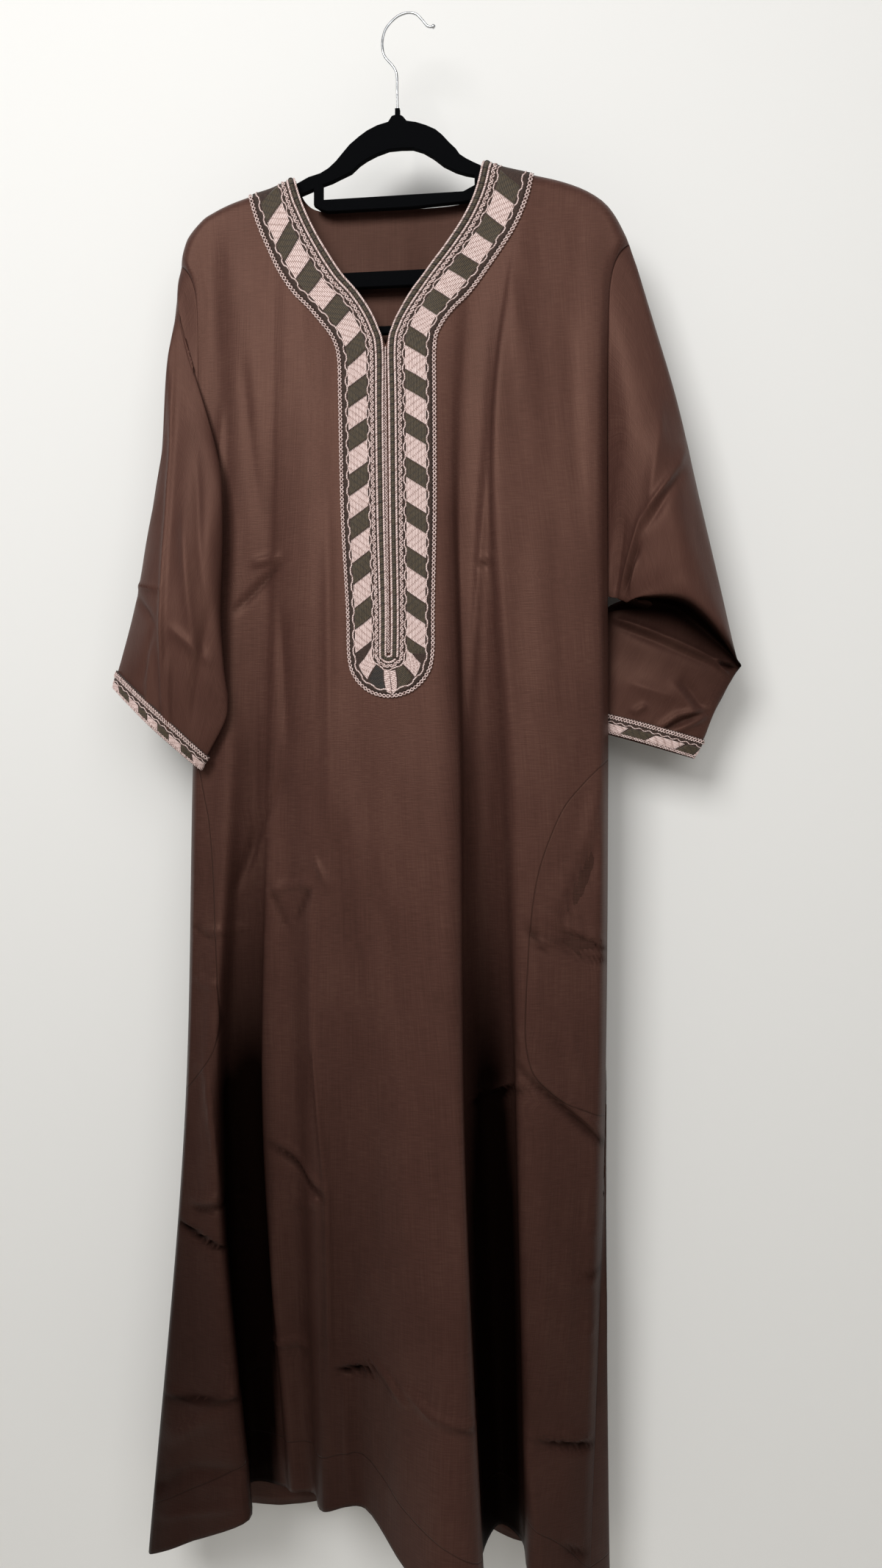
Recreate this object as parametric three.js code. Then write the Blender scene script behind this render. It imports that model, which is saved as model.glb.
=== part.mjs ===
import * as THREE from 'three';

// Thobe hung on a flocked hanger. Millimetres, +X to the viewer's right,
// +Y away from the viewer, +Z up. The origin is under the top of the hook.

// Driving sizes
const CLOTH = 1.2; // cloth wall
const SEAM_GAP = 0.4; // space between two pieces at a seam
const LAY_GAP = 0.9; // space under a piece laid on another
const ARMHOLE_GAP = 0.9; // space between a sleeve and the body at the armhole
const SHOULDER_ROLL = 13; // height over which the cloth turns over the hanger
const SIDE_ROLL = 11; // width over which a panel turns into its side seam
const TIP_FLARE = 22; // how far the shoulder tips stand out past the sides
const TIP_FALL = 18; // height over which that flare dies away
const CHEST = 450; // heights of the sections below the origin
const WAIST = 820;
const KNEE = 1200;
const ARMHOLE_TOP = 258;
const ARMHOLE_END = 627;
const BAND_WIDTH = 52; // neck band from its inner edge to the outer braid
const BAND_WALL = 1.0;
const SLIT_HALF = 2.2; // half of the placket's middle gap
const PLACKET_END = 690; // middle of the placket's round end
const PLACKET_RADIUS = 46;
const WIRE = 1.4; // radius of the hook's wire
const HANGER_HALF = 3.5; // half thickness of the hanger
const POCKET_WALL = 1.0;
const CUFF_WALL = 1.0;

// Shoulder line, x and height below the origin, tip to neck and neck to tip.
const SHOULDER = {
  x: [-243, -241, -235, -218, -206, -188, -166, -143, -115, 89, 112, 143, 168, 190, 206, 218, 228, 238, 242],
  z: [258, 245, 228, 209, 202, 194, 187, 181, 172, 165, 172, 180.5, 187.5, 196, 205, 215, 229, 249, 258],
};

// Front fold lines, left to right: hem height below the origin, then x and
// depth towards the viewer at top, chest, waist, knee and hem.
const FRONT = [
  { name: 'seam left', hem: 1656, x: [-221, -222, -230, -239, -277], d: [12, 8, 12, 14, 18] },
  { name: 'side left', close: 'start', hem: 1647, x: [-214, -208, -220, -230, -264], d: [12, 8, 16, 26, 34] },
  { name: 'flap middle', hem: 1622, x: [-206, -194, -203, -214, -215], d: [12, 9, 20, 32, 46], cols: 2 },
  { name: 'flap edge', hem: 1590, x: [-188, -180, -184, -192, -152], d: [12, 14, 22, 36, 54], cols: 2 },
  { name: 'valley left', hem: 1590, x: [-166, -160, -168, -190, -168], d: [12, 20, 12, 0, -6], cols: 2 },
  { name: 'floor left', hem: 1592, x: [-143, -138, -148, -154, -132], d: [12, 20, 13, -4, -10], cols: 1 },
  { name: 'step left', hem: 1590, x: [-136, -129, -137, -147, -118], d: [12, 22, 22, 12, 4], cols: 1 },
  { name: 'foot', hem: 1588, x: [-129, -118, -120, -112, -94], d: [12, 24, 27, 14, 8], cols: 2 },
  { name: 'ridge', hem: 1579, x: [-115, -96, -89, -86, -75], d: [12, 27, 42, 42, 50], cols: 2 },
  { name: 'shelf', close: 'start', hem: 1570, x: [-65, -58, -45, -40, -30], d: [13, 27, 46, 50, 54] },
  { name: 'centre', hem: 1602, x: [-15, -12, -5, 10, 15], d: [14, 28, 52, 66, 92], cols: 4 },
  { name: 'crest', hem: 1622, x: [38, 34, 38, 50, 60], d: [13, 27, 54, 74, 118], cols: 4 },
  { name: 'edge', hem: 1640, x: [64, 54, 65, 73, 96], d: [12.5, 24, 45, 66, 104], cols: 3 },
  { name: 'wall right', close: 'end', hem: 1630, x: [89, 66, 70, 70, 88], d: [12, 17, 24, 26, 36] },
  { name: 'floor right', hem: 1619, x: [112, 83, 86, 88, 104], d: [12, 17, 12, -4, -10], cols: 2 },
  { name: 'wall panel', hem: 1630, x: [128, 96, 106, 121, 129], d: [12, 21, 19, 4, -2], cols: 2 },
  { name: 'panel right', hem: 1641, x: [143, 108, 126, 129, 138], d: [12, 28, 37, 35, 33], cols: 1 },
  { name: 'panel middle', hem: 1664, x: [175, 165, 178, 172, 168], d: [12, 22, 30, 29, 28], cols: 2 },
  { name: 'side right', hem: 1690, x: [212, 205, 210, 206, 190], d: [12, 20, 22, 20, 18], cols: 2 },
  { name: 'seam right', close: 'end', hem: 1700, x: [220, 219, 220, 216, 199], d: [12, 14, 12, 12, 12] },
];
const FRONT_NECK = { left: 8, tip: 10, right: 13 };

// Back fold lines, the depth counted towards the wall.
const BACK = [
  { name: 'seam left', hem: 1656, x: [-221, -222, -230, -239, -277], d: [12, 13, 10, 14, 16] },
  { name: 'side left', close: 'start', hem: 1646, x: [-214, -206, -212, -223, -258], d: [12, 14, 12, 18, 22] },
  { name: 'blade left', hem: 1628, x: [-180, -172, -172, -180, -186], d: [12, 17, 18, 27, 32], cols: 2 },
  { name: 'neck left', hem: 1622, x: [-115, -118, -120, -126, -132], d: [12, 20, 25, 22, 24], cols: 2 },
  { name: 'nape left', close: 'start', hem: 1615, x: [-95, -92, -90, -92, -95], d: [13, 18, 20, 22, 26] },
  { name: 'spine left', hem: 1612, x: [-55, -55, -52, -52, -52], d: [14, 23, 24, 34, 42], cols: 2 },
  { name: 'spine', hem: 1612, x: [-12, -12, -10, -6, -4], d: [14, 20, 20, 22, 22], cols: 2 },
  { name: 'spine right', hem: 1620, x: [40, 40, 42, 46, 52], d: [14, 24, 28, 36, 44], cols: 2 },
  { name: 'neck right', close: 'end', hem: 1634, x: [89, 92, 94, 100, 108], d: [12, 20, 20, 20, 18] },
  { name: 'blade right', hem: 1660, x: [160, 156, 150, 156, 170], d: [12, 17, 10, 28, 36], cols: 3 },
  { name: 'side right', hem: 1692, x: [212, 205, 204, 212, 222], d: [12, 14, 6, 16, 16], cols: 3 },
  { name: 'seam right', close: 'end', hem: 1700, x: [220, 219, 220, 216, 199], d: [12, 14, 8, 10, 8] },
];
const BACK_NECK = { left: 3, tip: 6, right: 8 };

// Seams at the sides: y at top, chest, waist, knee and hem.
const SEAM_Y = { left: [0, 0, 0, 0, 0], right: [0, 0, 0, -2, -10] };
// Half depth of the open armholes towards the viewer and towards the wall.
// Half openings of the armholes, front and back, at four heights down the armhole.
const ARMHOLE_LEVELS = [258, 320, 442, 627];
const ARMHOLE = {
  left: { front: [12, 11.5, 8, 8], back: [12, 13, 13, 13] },
  right: { front: [12, 11.5, 5, 5], back: [12, 13, 14, 14] },
};

// Necklines, x and height below the origin, left to right.
const NECK_LEFT = { x: [-115, -106, -95, -81, -62, -45, -32, -23, -15], z: [172, 199, 224, 249, 279, 299, 318, 338, 358] };
const NECK_RIGHT = { x: [-15, -7, 1, 14, 30, 49, 68, 81, 89], z: [358, 338, 320, 299, 278, 253, 224, 196, 165] };
const NECK_BACK = { x: [-115, -109, -99, -82, -12, 58, 74, 83, 89], z: [172, 186, 196, 200, 201, 200, 194, 181, 165] };

// Neck band stations down one side: inner edge and outer edge, x and depth.
const BAND_LEFT = [
  { ix: -114.5, iz: 173, ox: -166, oz: 188.5 },
  { ix: -106, iz: 200, ox: -156, oz: 222 },
  { ix: -95, iz: 225, ox: -142, oz: 255 },
  { ix: -81, iz: 250, ox: -131, oz: 277 },
  { ix: -62, iz: 280, ox: -116, oz: 300 },
  { ix: -45, iz: 300, ox: -99, oz: 318 },
  { ix: -32, iz: 319, ox: -84, oz: 336 },
  { ix: -23, iz: 339, ox: -72, oz: 353 },
  { ix: -17.5, iz: 360, ox: -66, oz: 374 },
  { ix: -15, iz: 420, ox: -64, oz: 420 },
  { ix: -12, iz: 540, ox: -60, oz: 540 },
  { ix: -9, iz: 640, ox: -53, oz: 640 },
];
const BAND_RIGHT = [
  { ix: 88.5, iz: 166.5, ox: 143, oz: 182.5 },
  { ix: 81, iz: 197, ox: 138, oz: 207 },
  { ix: 68, iz: 225, ox: 127, oz: 236 },
  { ix: 49, iz: 254, ox: 113, oz: 259 },
  { ix: 30, iz: 279, ox: 96, oz: 282 },
  { ix: 14, iz: 300, ox: 78, oz: 305 },
  { ix: 1.5, iz: 321, ox: 60, oz: 324 },
  { ix: -7, iz: 339, ox: 47, oz: 342 },
  { ix: -11.5, iz: 360, ox: 41, oz: 362 },
  { ix: -10, iz: 420, ox: 41, oz: 420 },
  { ix: -7.5, iz: 540, ox: 42, oz: 540 },
  { ix: -4.5, iz: 640, ox: 41, oz: 640 },
];

// Sleeve rings from armhole to cuff: top, front, under and back points.
const SLEEVE_LEFT = [
  { top: [-247, -1, -280], front: [-229, -11, -450], under: [-234, -4, -637], back: [-233, 13, -450] },
  { top: [-249, -5, -315], front: [-209, -16, -465], under: [-235, -13, -654], back: [-243, 9, -475] },
  { top: [-253, -10, -365], front: [-193, -22, -490], under: [-226, -15, -676], back: [-250, -3, -520] },
  { top: [-255, -14, -430], front: [-189, -36, -525], under: [-206, -20, -705], back: [-250, -12, -575] },
  { top: [-265, -17, -500], front: [-206, -50, -580], under: [-186, -28, -722], back: [-240, -12, -630] },
  { top: [-277, -19, -570], front: [-232, -54, -632], under: [-181, -32, -740], back: [-232, -12, -665] },
  { top: [-287, -20, -632], front: [-249, -52, -680], under: [-186, -32, -760], back: [-236, -12, -700] },
  { top: [-307, -20, -701], front: [-254, -45, -745], under: [-204, -30, -794], back: [-256, -12, -748] },
  { top: [-311, -20, -721], front: [-261, -44, -765], under: [-213, -30, -809], back: [-262, -13, -766] },
];
const SLEEVE_RIGHT = [
  { top: [255, 0, -300], front: [238, -20, -452], under: [228, -1, -629], back: [238, 18, -452] },
  { top: [286, 2, -404], front: [262, -29, -500], under: [232, -2, -631], back: [262, 26, -500] },
  { top: [310, 4, -503], front: [280, -32, -548], under: [236, -3, -633], back: [284, 32, -548] },
  { top: [335, 7, -612], front: [293, -29, -602], under: [240, -4, -634], back: [298, 36, -600] },
  { top: [354, 10, -692], front: [303, -20, -638], under: [245, -6, -631], back: [300, 38, -645] },
  { top: [358, 13, -700], front: [290, 19, -636], under: [221, 10, -638], back: [297, 40, -655] },
  { top: [354, 14, -707], front: [284, 2, -670], under: [213, 18, -656], back: [290, 40, -672] },
  { top: [342, 14, -728], front: [272, 0, -702], under: [198, 22, -690], back: [275, 37, -704] },
  { top: [331, 14, -750], front: [263, -1, -728], under: [190, 22, -714], back: [264, 35, -730] },
  { top: [320, 13, -777], front: [253, 1, -758], under: [184, 22, -740], back: [254, 32, -758] },
  { top: [308, 12, -797], front: [245, 3, -778], under: [178, 22, -760], back: [246, 30, -778] },
];
const CUFF_ROWS = { left: 2, right: 2 };

// Pocket bags: stitch line, x at heights below the origin.
const POCKET_LEFT = { z: [842, 866, 928, 980, 1040, 1080, 1106, 1125, 1136], x: [-211, -206, -200, -197, -193, -191, -196, -207, -216] };
const POCKET_RIGHT = {
  z: [806, 823, 847, 879, 915, 956, 1020, 1080, 1106, 1127, 1150, 1161],
  x: [212, 195, 175, 160, 148, 141, 136, 134, 137, 145, 168, 192],
};

// Hanger outline and windows in x and z.
const HANGER_OUTLINE = [
  [-214, -215], [-204, -206], [-188, -198], [-166, -191], [-143, -185], [-129, -181], [-114, -175],
  [-101, -168.5], [-88, -165], [-79, -160], [-71, -153], [-64, -145], [-56, -136], [-46, -128], [-37, -122],
  [-26, -117], [-14, -114], [-10, -108], [-6.5, -107], [-6.5, -100], [-1.5, -100], [-1.5, -107], [2, -109],
  [6, -114], [16, -116], [27, -120], [37, -125], [44, -131], [52, -140], [59, -147], [63, -153], [70, -158],
  [78, -162.5], [90, -168.5], [112, -176], [143, -184.5], [170, -192], [190, -200.5], [204, -210], [212, -222],
  [211, -240], [203, -264], [192, -281], [176, -290], [60, -290], [60, -341], [-68, -341], [-68, -290],
  [-184, -290], [-200, -281], [-211, -264], [-218, -240], [-219, -224],
];
const HANGER_WINDOWS = [
  [
    [-85, -178], [-75, -175], [-66, -171], [-54, -166], [-45, -158], [-37, -153], [-26, -148], [-13, -144],
    [0, -143.4], [13, -144], [24, -148], [35, -155], [46, -164], [59, -171], [70, -175], [79, -177],
    [79, -187], [67, -193], [-85, -194],
  ],
  [
    [-95, -182], [-95, -199], [-88, -204], [-80, -207], [11, -207], [68, -204], [82, -202], [89, -195],
    [91, -184], [112, -190], [143, -200], [170, -209], [190, -219], [199, -230], [197, -244], [188, -262],
    [174, -274], [-182, -274], [-196, -262], [-205, -244], [-207, -231], [-198, -219], [-178, -208],
    [-143, -199], [-114, -189],
  ],
  [[-60, -290.5], [52, -290.5], [52, -333], [-60, -333]],
];

// Hook wire, x and z of its middle, from the stem to the ball end.
const HOOK = [
  [-4, -99.6], [-4.5, -80], [-5, -62], [-8.5, -54], [-18, -42], [-20.5, -32], [-20, -22], [-17, -13],
  [-11.5, -6], [-4.5, -0.4], [3, 2.6], [10, 3], [16.5, 0.6], [22, -5], [28, -12.4], [32, -13.8], [37, -13],
];

const satin = new THREE.MeshStandardMaterial({ name: 'cloth_brown', color: 0x47302a, roughness: 0.55 });
const ground = new THREE.MeshStandardMaterial({ name: 'band_ground', color: 0x3a2f24, roughness: 0.7 });
const thread = new THREE.MeshStandardMaterial({ name: 'braid_pink', color: 0xd8bdb6, roughness: 0.6 });
const flock = new THREE.MeshStandardMaterial({ name: 'hanger_flock', color: 0x0e0e11, roughness: 0.95 });
const chrome = new THREE.MeshStandardMaterial({ name: 'hook_chrome', color: 0xb8bcc0, metalness: 1, roughness: 0.2 });

const group = new THREE.Group();
group.name = 'thobe';

const lerp = (a, b, t) => a + (b - a) * t;
const clamp = (v, lo, hi) => Math.min(Math.max(v, lo), hi);
const range = (n) => Array.from({ length: n }, (_, i) => i);

// Quarter circle: 0 at an edge, 1 from one unit inwards.
function roll(t) {
  const r = 1 - clamp(t, 0, 1);
  return Math.sqrt(1 - r * r);
}

// Smooth curve through values at rising knots.
function curve(knots, values, t) {
  const last = knots.length - 1;
  let i = 0;
  while (i < last - 1 && t > knots[i + 1]) i += 1;
  const slope = (k) => {
    const a = Math.max(k - 1, 0);
    const b = Math.min(k + 1, last);
    return (values[b] - values[a]) / (knots[b] - knots[a]);
  };
  const h = knots[i + 1] - knots[i];
  const s = clamp((t - knots[i]) / h, 0, 1);
  const s2 = s * s;
  const s3 = s2 * s;
  return (2 * s3 - 3 * s2 + 1) * values[i] + (s3 - 2 * s2 + s) * h * slope(i)
    + (3 * s2 - 2 * s3) * values[i + 1] + (s3 - s2) * h * slope(i + 1);
}

// Curve over the table rows from one line to another, u counted in rows.
function along(rows, pick, u, from = 0, to = rows.length - 1) {
  const knots = range(to - from + 1).map((k) => k + from);
  return curve(knots, knots.map((k) => pick(rows[k])), u);
}

const front = { rows: FRONT, neck: FRONT_NECK, sign: -1, side: 'front' };
const back = { rows: BACK, neck: BACK_NECK, sign: 1, side: 'back' };

// How far a column is moved out by the shoulder tip, fall below the shoulder.
function flareOut(panel, u, fall) {
  const last = panel.rows.length - 1;
  const near = Math.min(u, last - u);
  const side = u > last / 2 ? 1 : -1;
  return side * TIP_FLARE * clamp(1 - near / 2, 0, 1) ** 1.5 * Math.exp(-fall / TIP_FALL);
}

function topX(panel, u) {
  return along(panel.rows, (r) => r.x[0], u) + flareOut(panel, u, 0);
}

// Height below the origin of the shoulder line at column u.
function shoulderDepth(panel, u) {
  const { left, right } = panel.neck;
  if (u <= left || u >= right) return curve(SHOULDER.x, SHOULDER.z, topX(panel, u));
  return lerp(NECK_LEFT.z[0], NECK_RIGHT.z[NECK_RIGHT.z.length - 1], (u - left) / (right - left));
}

// Height below the origin where column u starts: shoulder line or neckline.
function topDepth(panel, u) {
  const { left, tip, right } = panel.neck;
  if (u <= left || u >= right) return shoulderDepth(panel, u);
  const line = panel === back ? NECK_BACK : (u < tip ? NECK_LEFT : NECK_RIGHT);
  return curve(line.x, line.z, topX(panel, u));
}

// Half opening of an armhole: it closes roundly at its top and over 90 mm at its end.
function armholeHalf(name, side, depth) {
  if (depth <= ARMHOLE_TOP || depth >= ARMHOLE_END) return 0;
  const t = (2 * depth - ARMHOLE_TOP - ARMHOLE_END) / (ARMHOLE_END - ARMHOLE_TOP);
  const round = t < 0 ? (1 - t * t) ** 0.25 : roll((ARMHOLE_END - depth) / 90);
  return curve(ARMHOLE_LEVELS, ARMHOLE[name][side], depth) * round;
}

// Signed y of a panel's own side edge at height z: seam, or open armhole.
function edgeY(panel, right, depth) {
  const name = right ? 'right' : 'left';
  const seam = curve([ARMHOLE_TOP, CHEST, WAIST, KNEE, 1700], SEAM_Y[name], depth);
  const open = armholeHalf(name, panel.side, depth);
  return seam + panel.sign * Math.max(open, SEAM_GAP / 2);
}

function edgeX(right, depth) {
  const row = right ? FRONT[FRONT.length - 1] : FRONT[0];
  const x = curve([ARMHOLE_TOP, CHEST, WAIST, KNEE, row.hem], row.x, depth);
  return x + (right ? 1 : -1) * TIP_FLARE * Math.exp(-(depth - ARMHOLE_TOP) / TIP_FALL);
}

// Point of a panel's outer face at column u and depth below the origin.
function panelPoint(panel, u, depth) {
  const { rows, sign } = panel;
  const top = topDepth(panel, u);
  const hem = along(rows, (r) => r.hem, u);
  const knots = [Math.min(top, CHEST - 60), CHEST, WAIST, KNEE, hem];
  const levels = range(5);
  const last = rows.length - 1;
  const near = Math.min(u, last - u);
  const x = curve(knots, levels.map((k) => along(rows, (r) => r.x[k], u)), depth)
    + flareOut(panel, u, depth - top);
  const d = curve(knots, levels.map((k) => along(rows, (r) => r.d[k], u)), depth);
  const right = u > last / 2;
  const edge = edgeY(panel, right, depth);
  const inward = near < 1 ? Math.abs(x - edgeX(right, depth)) : SIDE_ROLL;
  let y = edge + (sign * d - edge) * roll(inward / SIDE_ROLL);
  const fall = depth - shoulderDepth(panel, u);
  y = sign * SEAM_GAP / 2 + (y - sign * SEAM_GAP / 2) * roll(fall / SHOULDER_ROLL);
  return new THREE.Vector3(x, y, -depth);
}

// Closed wall between outer points P[i][j] and inner points one wall inwards.
// sign gives the outward side; keep pins an edge's inner point to a plane.
function wall(P, thick, sign, closed = false, keep = null) {
  const ni = P.length;
  const nj = P[0].length;
  const normal = (i, j) => {
    const a = closed ? P[(i + ni - 1) % ni][j] : P[Math.max(i - 1, 0)][j];
    const b = closed ? P[(i + 1) % ni][j] : P[Math.min(i + 1, ni - 1)][j];
    const c = P[i][Math.max(j - 1, 0)];
    const d = P[i][Math.min(j + 1, nj - 1)];
    const du = b.clone().sub(a);
    const dv = d.clone().sub(c);
    return du.cross(dv).normalize().multiplyScalar(sign);
  };
  const Q = P.map((column, i) => column.map((p, j) => {
    const w = typeof thick === 'function' ? thick(i, j) : thick;
    const q = p.clone().addScaledVector(normal(i, j), -w);
    if (keep) keep(q, p, i, j);
    return q;
  }));
  return shell(P, Q, closed);
}

function shell(P, Q, closed) {
  const ni = P.length;
  const nj = P[0].length;
  const position = [];
  [P, Q].forEach((grid) => grid.forEach((column) => column.forEach((p) => position.push(p.x, p.y, p.z))));
  const outer = (i, j) => (i % ni) * nj + j;
  const inner = (i, j) => ni * nj + (i % ni) * nj + j;
  const index = [];
  const quad = (a, b, c, d) => index.push(a, b, c, a, c, d);
  const spans = closed ? ni : ni - 1;
  range(spans).forEach((i) => {
    range(nj - 1).forEach((j) => {
      quad(outer(i, j), outer(i, j + 1), outer(i + 1, j + 1), outer(i + 1, j));
      quad(inner(i, j), inner(i + 1, j), inner(i + 1, j + 1), inner(i, j + 1));
    });
    quad(outer(i, 0), outer(i + 1, 0), inner(i + 1, 0), inner(i, 0));
    quad(outer(i, nj - 1), inner(i, nj - 1), inner(i + 1, nj - 1), outer(i + 1, nj - 1));
  });
  if (!closed) {
    range(nj - 1).forEach((j) => {
      quad(outer(0, j), inner(0, j), inner(0, j + 1), outer(0, j + 1));
      quad(outer(ni - 1, j), outer(ni - 1, j + 1), inner(ni - 1, j + 1), inner(ni - 1, j));
    });
  }
  return finish(position, index);
}

// Geometry with its faces turned outwards.
function finish(position, index) {
  let volume = 0;
  const at = (k) => new THREE.Vector3(position[3 * k], position[3 * k + 1], position[3 * k + 2]);
  for (let k = 0; k < index.length; k += 3) {
    volume += at(index[k]).dot(at(index[k + 1]).cross(at(index[k + 2])));
  }
  if (volume < 0) {
    for (let k = 0; k < index.length; k += 3) {
      [index[k + 1], index[k + 2]] = [index[k + 2], index[k + 1]];
    }
  }
  const geometry = new THREE.BufferGeometry();
  geometry.setAttribute('position', new THREE.Float32BufferAttribute(position, 3));
  geometry.setIndex(index);
  geometry.computeVertexNormals();
  return geometry;
}

function add(name, geometry, material) {
  const mesh = new THREE.Mesh(geometry, material);
  mesh.name = name;
  group.add(mesh);
}

// Shares of a span whose columns stand close at one end.
const CLOSE = [0, 0.04, 0.13, 0.3, 0.6, 1];

// Columns of a panel: each table line brings its own number of columns.
function columns(rows) {
  const list = [0];
  rows.forEach((row, k) => {
    if (k === 0) return;
    let steps = range(row.cols + 1).map((c) => c / row.cols);
    if (row.close) steps = row.close === 'start' ? CLOSE : CLOSE.map((e) => 1 - e).reverse();
    steps.slice(1).forEach((e) => list.push(k - 1 + e));
  });
  return list;
}

const ROLL_ROWS = [0, 0.8, 3.5, 8, 14, 30, 55];
const LONG_ROWS = 13;

// Depths of a column: close rows over the shoulder, even ones to the hem.
function depths(top, hem) {
  const first = ROLL_ROWS.map((r) => top + r);
  const from = first[first.length - 1];
  return first.concat(range(LONG_ROWS).map((k) => lerp(from, hem, (k + 1) / LONG_ROWS)));
}

function panelGrid(panel) {
  return columns(panel.rows).map((u) => {
    const hem = along(panel.rows, (r) => r.hem, u);
    return depths(topDepth(panel, u), hem).map((depth) => panelPoint(panel, u, depth));
  });
}

function panelWall(panel) {
  const grid = panelGrid(panel);
  const list = columns(panel.rows);
  const last = grid.length - 1;
  const { neck } = panel;
  const keep = (q, p, i, j) => {
    const depth = -p.z;
    const side = i === 0 || i === last;
    if (side && depth < ARMHOLE_END - 2 && depth > ARMHOLE_TOP + 2) q.x = p.x;
    else if (side) q.y = p.y;
    if (j === 0 && (list[i] <= neck.left || list[i] >= neck.right)) q.y = p.y;
  };
  return wall(grid, CLOTH, panel.sign, false, keep);
}

add('front_panel', panelWall(front), satin);
add('back_panel', panelWall(back), satin);

// Closed curve through four points, t from 0 at the first point to 1.
function loopPoint(points, t) {
  const n = points.length;
  const s = (t % 1) * n;
  const i = Math.floor(s);
  const f = s - i;
  const p = (k) => points[(i + k + n) % n];
  const axis = (a) => {
    const m0 = (p(1)[a] - p(-1)[a]) / 2;
    const m1 = (p(2)[a] - p(0)[a]) / 2;
    return (2 * f ** 3 - 3 * f ** 2 + 1) * p(0)[a] + (f ** 3 - 2 * f ** 2 + f) * m0
      + (3 * f ** 2 - 2 * f ** 3) * p(1)[a] + (f ** 3 - f ** 2) * m1;
  };
  return [axis(0), axis(1), axis(2)];
}

// Armhole loop, the same four quarters: top, front, under, back.
function armholePoint(right, t) {
  const name = right ? 'right' : 'left';
  const angle = 2 * Math.PI * t;
  const depth = lerp(ARMHOLE_TOP, ARMHOLE_END, (1 - Math.cos(angle)) / 2);
  const x = edgeX(right, depth) + (right ? 1 : -1) * ARMHOLE_GAP;
  const ahead = Math.sin(angle) > 0;
  const half = armholeHalf(name, ahead ? 'front' : 'back', depth);
  return [x, (ahead ? -1 : 1) * half * roll((depth - ARMHOLE_TOP) / SHOULDER_ROLL), -depth];
}

const RING_POINTS = 18;
const RING_STEPS = 2;

// Sleeve point: k counts rings from the armhole, t runs round the ring. Close to the
// shoulder the first two rings keep part of the armhole's own depth.
function sleevePoint(rings, right, k, t) {
  const points = rings.map((r) => loopPoint([r.top, r.front, r.under, r.back], t));
  const start = armholePoint(right, t);
  const nearTop = Math.max(1 - Math.min(t, 1 - t) / 0.16, 0);
  [0.8, 0.4].forEach((share, ring) => {
    points[ring][1] += (start[1] - points[ring][1]) * share * nearTop;
  });
  points.unshift(start);
  const knots = range(points.length);
  return new THREE.Vector3(...[0, 1, 2].map((a) => curve(knots, points.map((p) => p[a]), k)));
}

function sleeveGrid(rings, right, from, to, steps) {
  const count = Math.round((to - from) * steps);
  return range(RING_POINTS).map((i) => range(count + 1).map((j) => (
    sleevePoint(rings, right, from + j / steps, i / RING_POINTS)
  )));
}

function sleeveWall(rings, right) {
  const grid = sleeveGrid(rings, right, 0, rings.length, RING_STEPS);
  const keep = (q, p, i, j) => {
    if (j === 0) q.x = p.x;
  };
  return wall(grid, CLOTH, right ? 1 : -1, true, keep);
}

add('sleeve_left', sleeveWall(SLEEVE_LEFT, false), satin);
add('sleeve_right', sleeveWall(SLEEVE_RIGHT, true), satin);

// Cuff band: the sleeve's last rings moved out by the gap and its own wall.
function cuffWall(rings, right) {
  const end = rings.length;
  const grid = sleeveGrid(rings, right, end - 1, end, 2);
  const sign = right ? 1 : -1;
  const ni = grid.length;
  const shifted = grid.map((column, i) => column.map((p, j) => {
    const du = grid[(i + 1) % ni][j].clone().sub(grid[(i + ni - 1) % ni][j]);
    const c = column[Math.max(j - 1, 0)];
    const d = column[Math.min(j + 1, column.length - 1)];
    const n = du.cross(d.clone().sub(c)).normalize().multiplyScalar(sign);
    return p.clone().addScaledVector(n, LAY_GAP + CUFF_WALL);
  }));
  return wall(shifted, CUFF_WALL, sign, true);
}

add('cuff_band_left', cuffWall(SLEEVE_LEFT, false), ground);
add('cuff_band_right', cuffWall(SLEEVE_RIGHT, true), ground);

// Column of the front panel that holds x at a depth, searched by halving.
function columnAt(x, depth, lo, hi) {
  let a = lo;
  let b = hi;
  for (let k = 0; k < 22; k += 1) {
    const m = (a + b) / 2;
    if (panelPoint(front, m, depth).x < x) a = m;
    else b = m;
  }
  return (a + b) / 2;
}

function frontY(x, depth) {
  return panelPoint(front, columnAt(x, depth, 5, 17), depth).y;
}

// Point at a height above the front panel's outer face.
function aboveFront(x, depth, height) {
  const e = 0.5;
  const y = frontY(x, depth);
  const fx = (frontY(x + e, depth) - frontY(x - e, depth)) / (2 * e);
  const fz = (frontY(x, depth - e) - frontY(x, depth + e)) / (2 * e);
  const n = new THREE.Vector3(fx, -1, fz).normalize();
  return new THREE.Vector3(x, y, -depth).addScaledVector(n, height);
}

// Stations of the whole band: left side, round end, right side.
function bandStations() {
  const steps = 5;
  const round = range(steps).map((k) => {
    const a = Math.PI * ((k + 1) / (steps + 1));
    return {
      ix: -6.5 - SLIT_HALF * Math.cos(a),
      iz: PLACKET_END + SLIT_HALF * Math.sin(a),
      ox: -5 - PLACKET_RADIUS * Math.cos(a),
      oz: PLACKET_END + PLACKET_RADIUS * Math.sin(a),
    };
  });
  const ends = [
    { ix: -6.5 - SLIT_HALF, iz: PLACKET_END, ox: -5 - PLACKET_RADIUS, oz: PLACKET_END },
    { ix: -6.5 + SLIT_HALF, iz: PLACKET_END, ox: -5 + PLACKET_RADIUS, oz: PLACKET_END },
  ];
  return BAND_LEFT.concat([ends[0]], round, [ends[1]], [...BAND_RIGHT].reverse());
}

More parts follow.
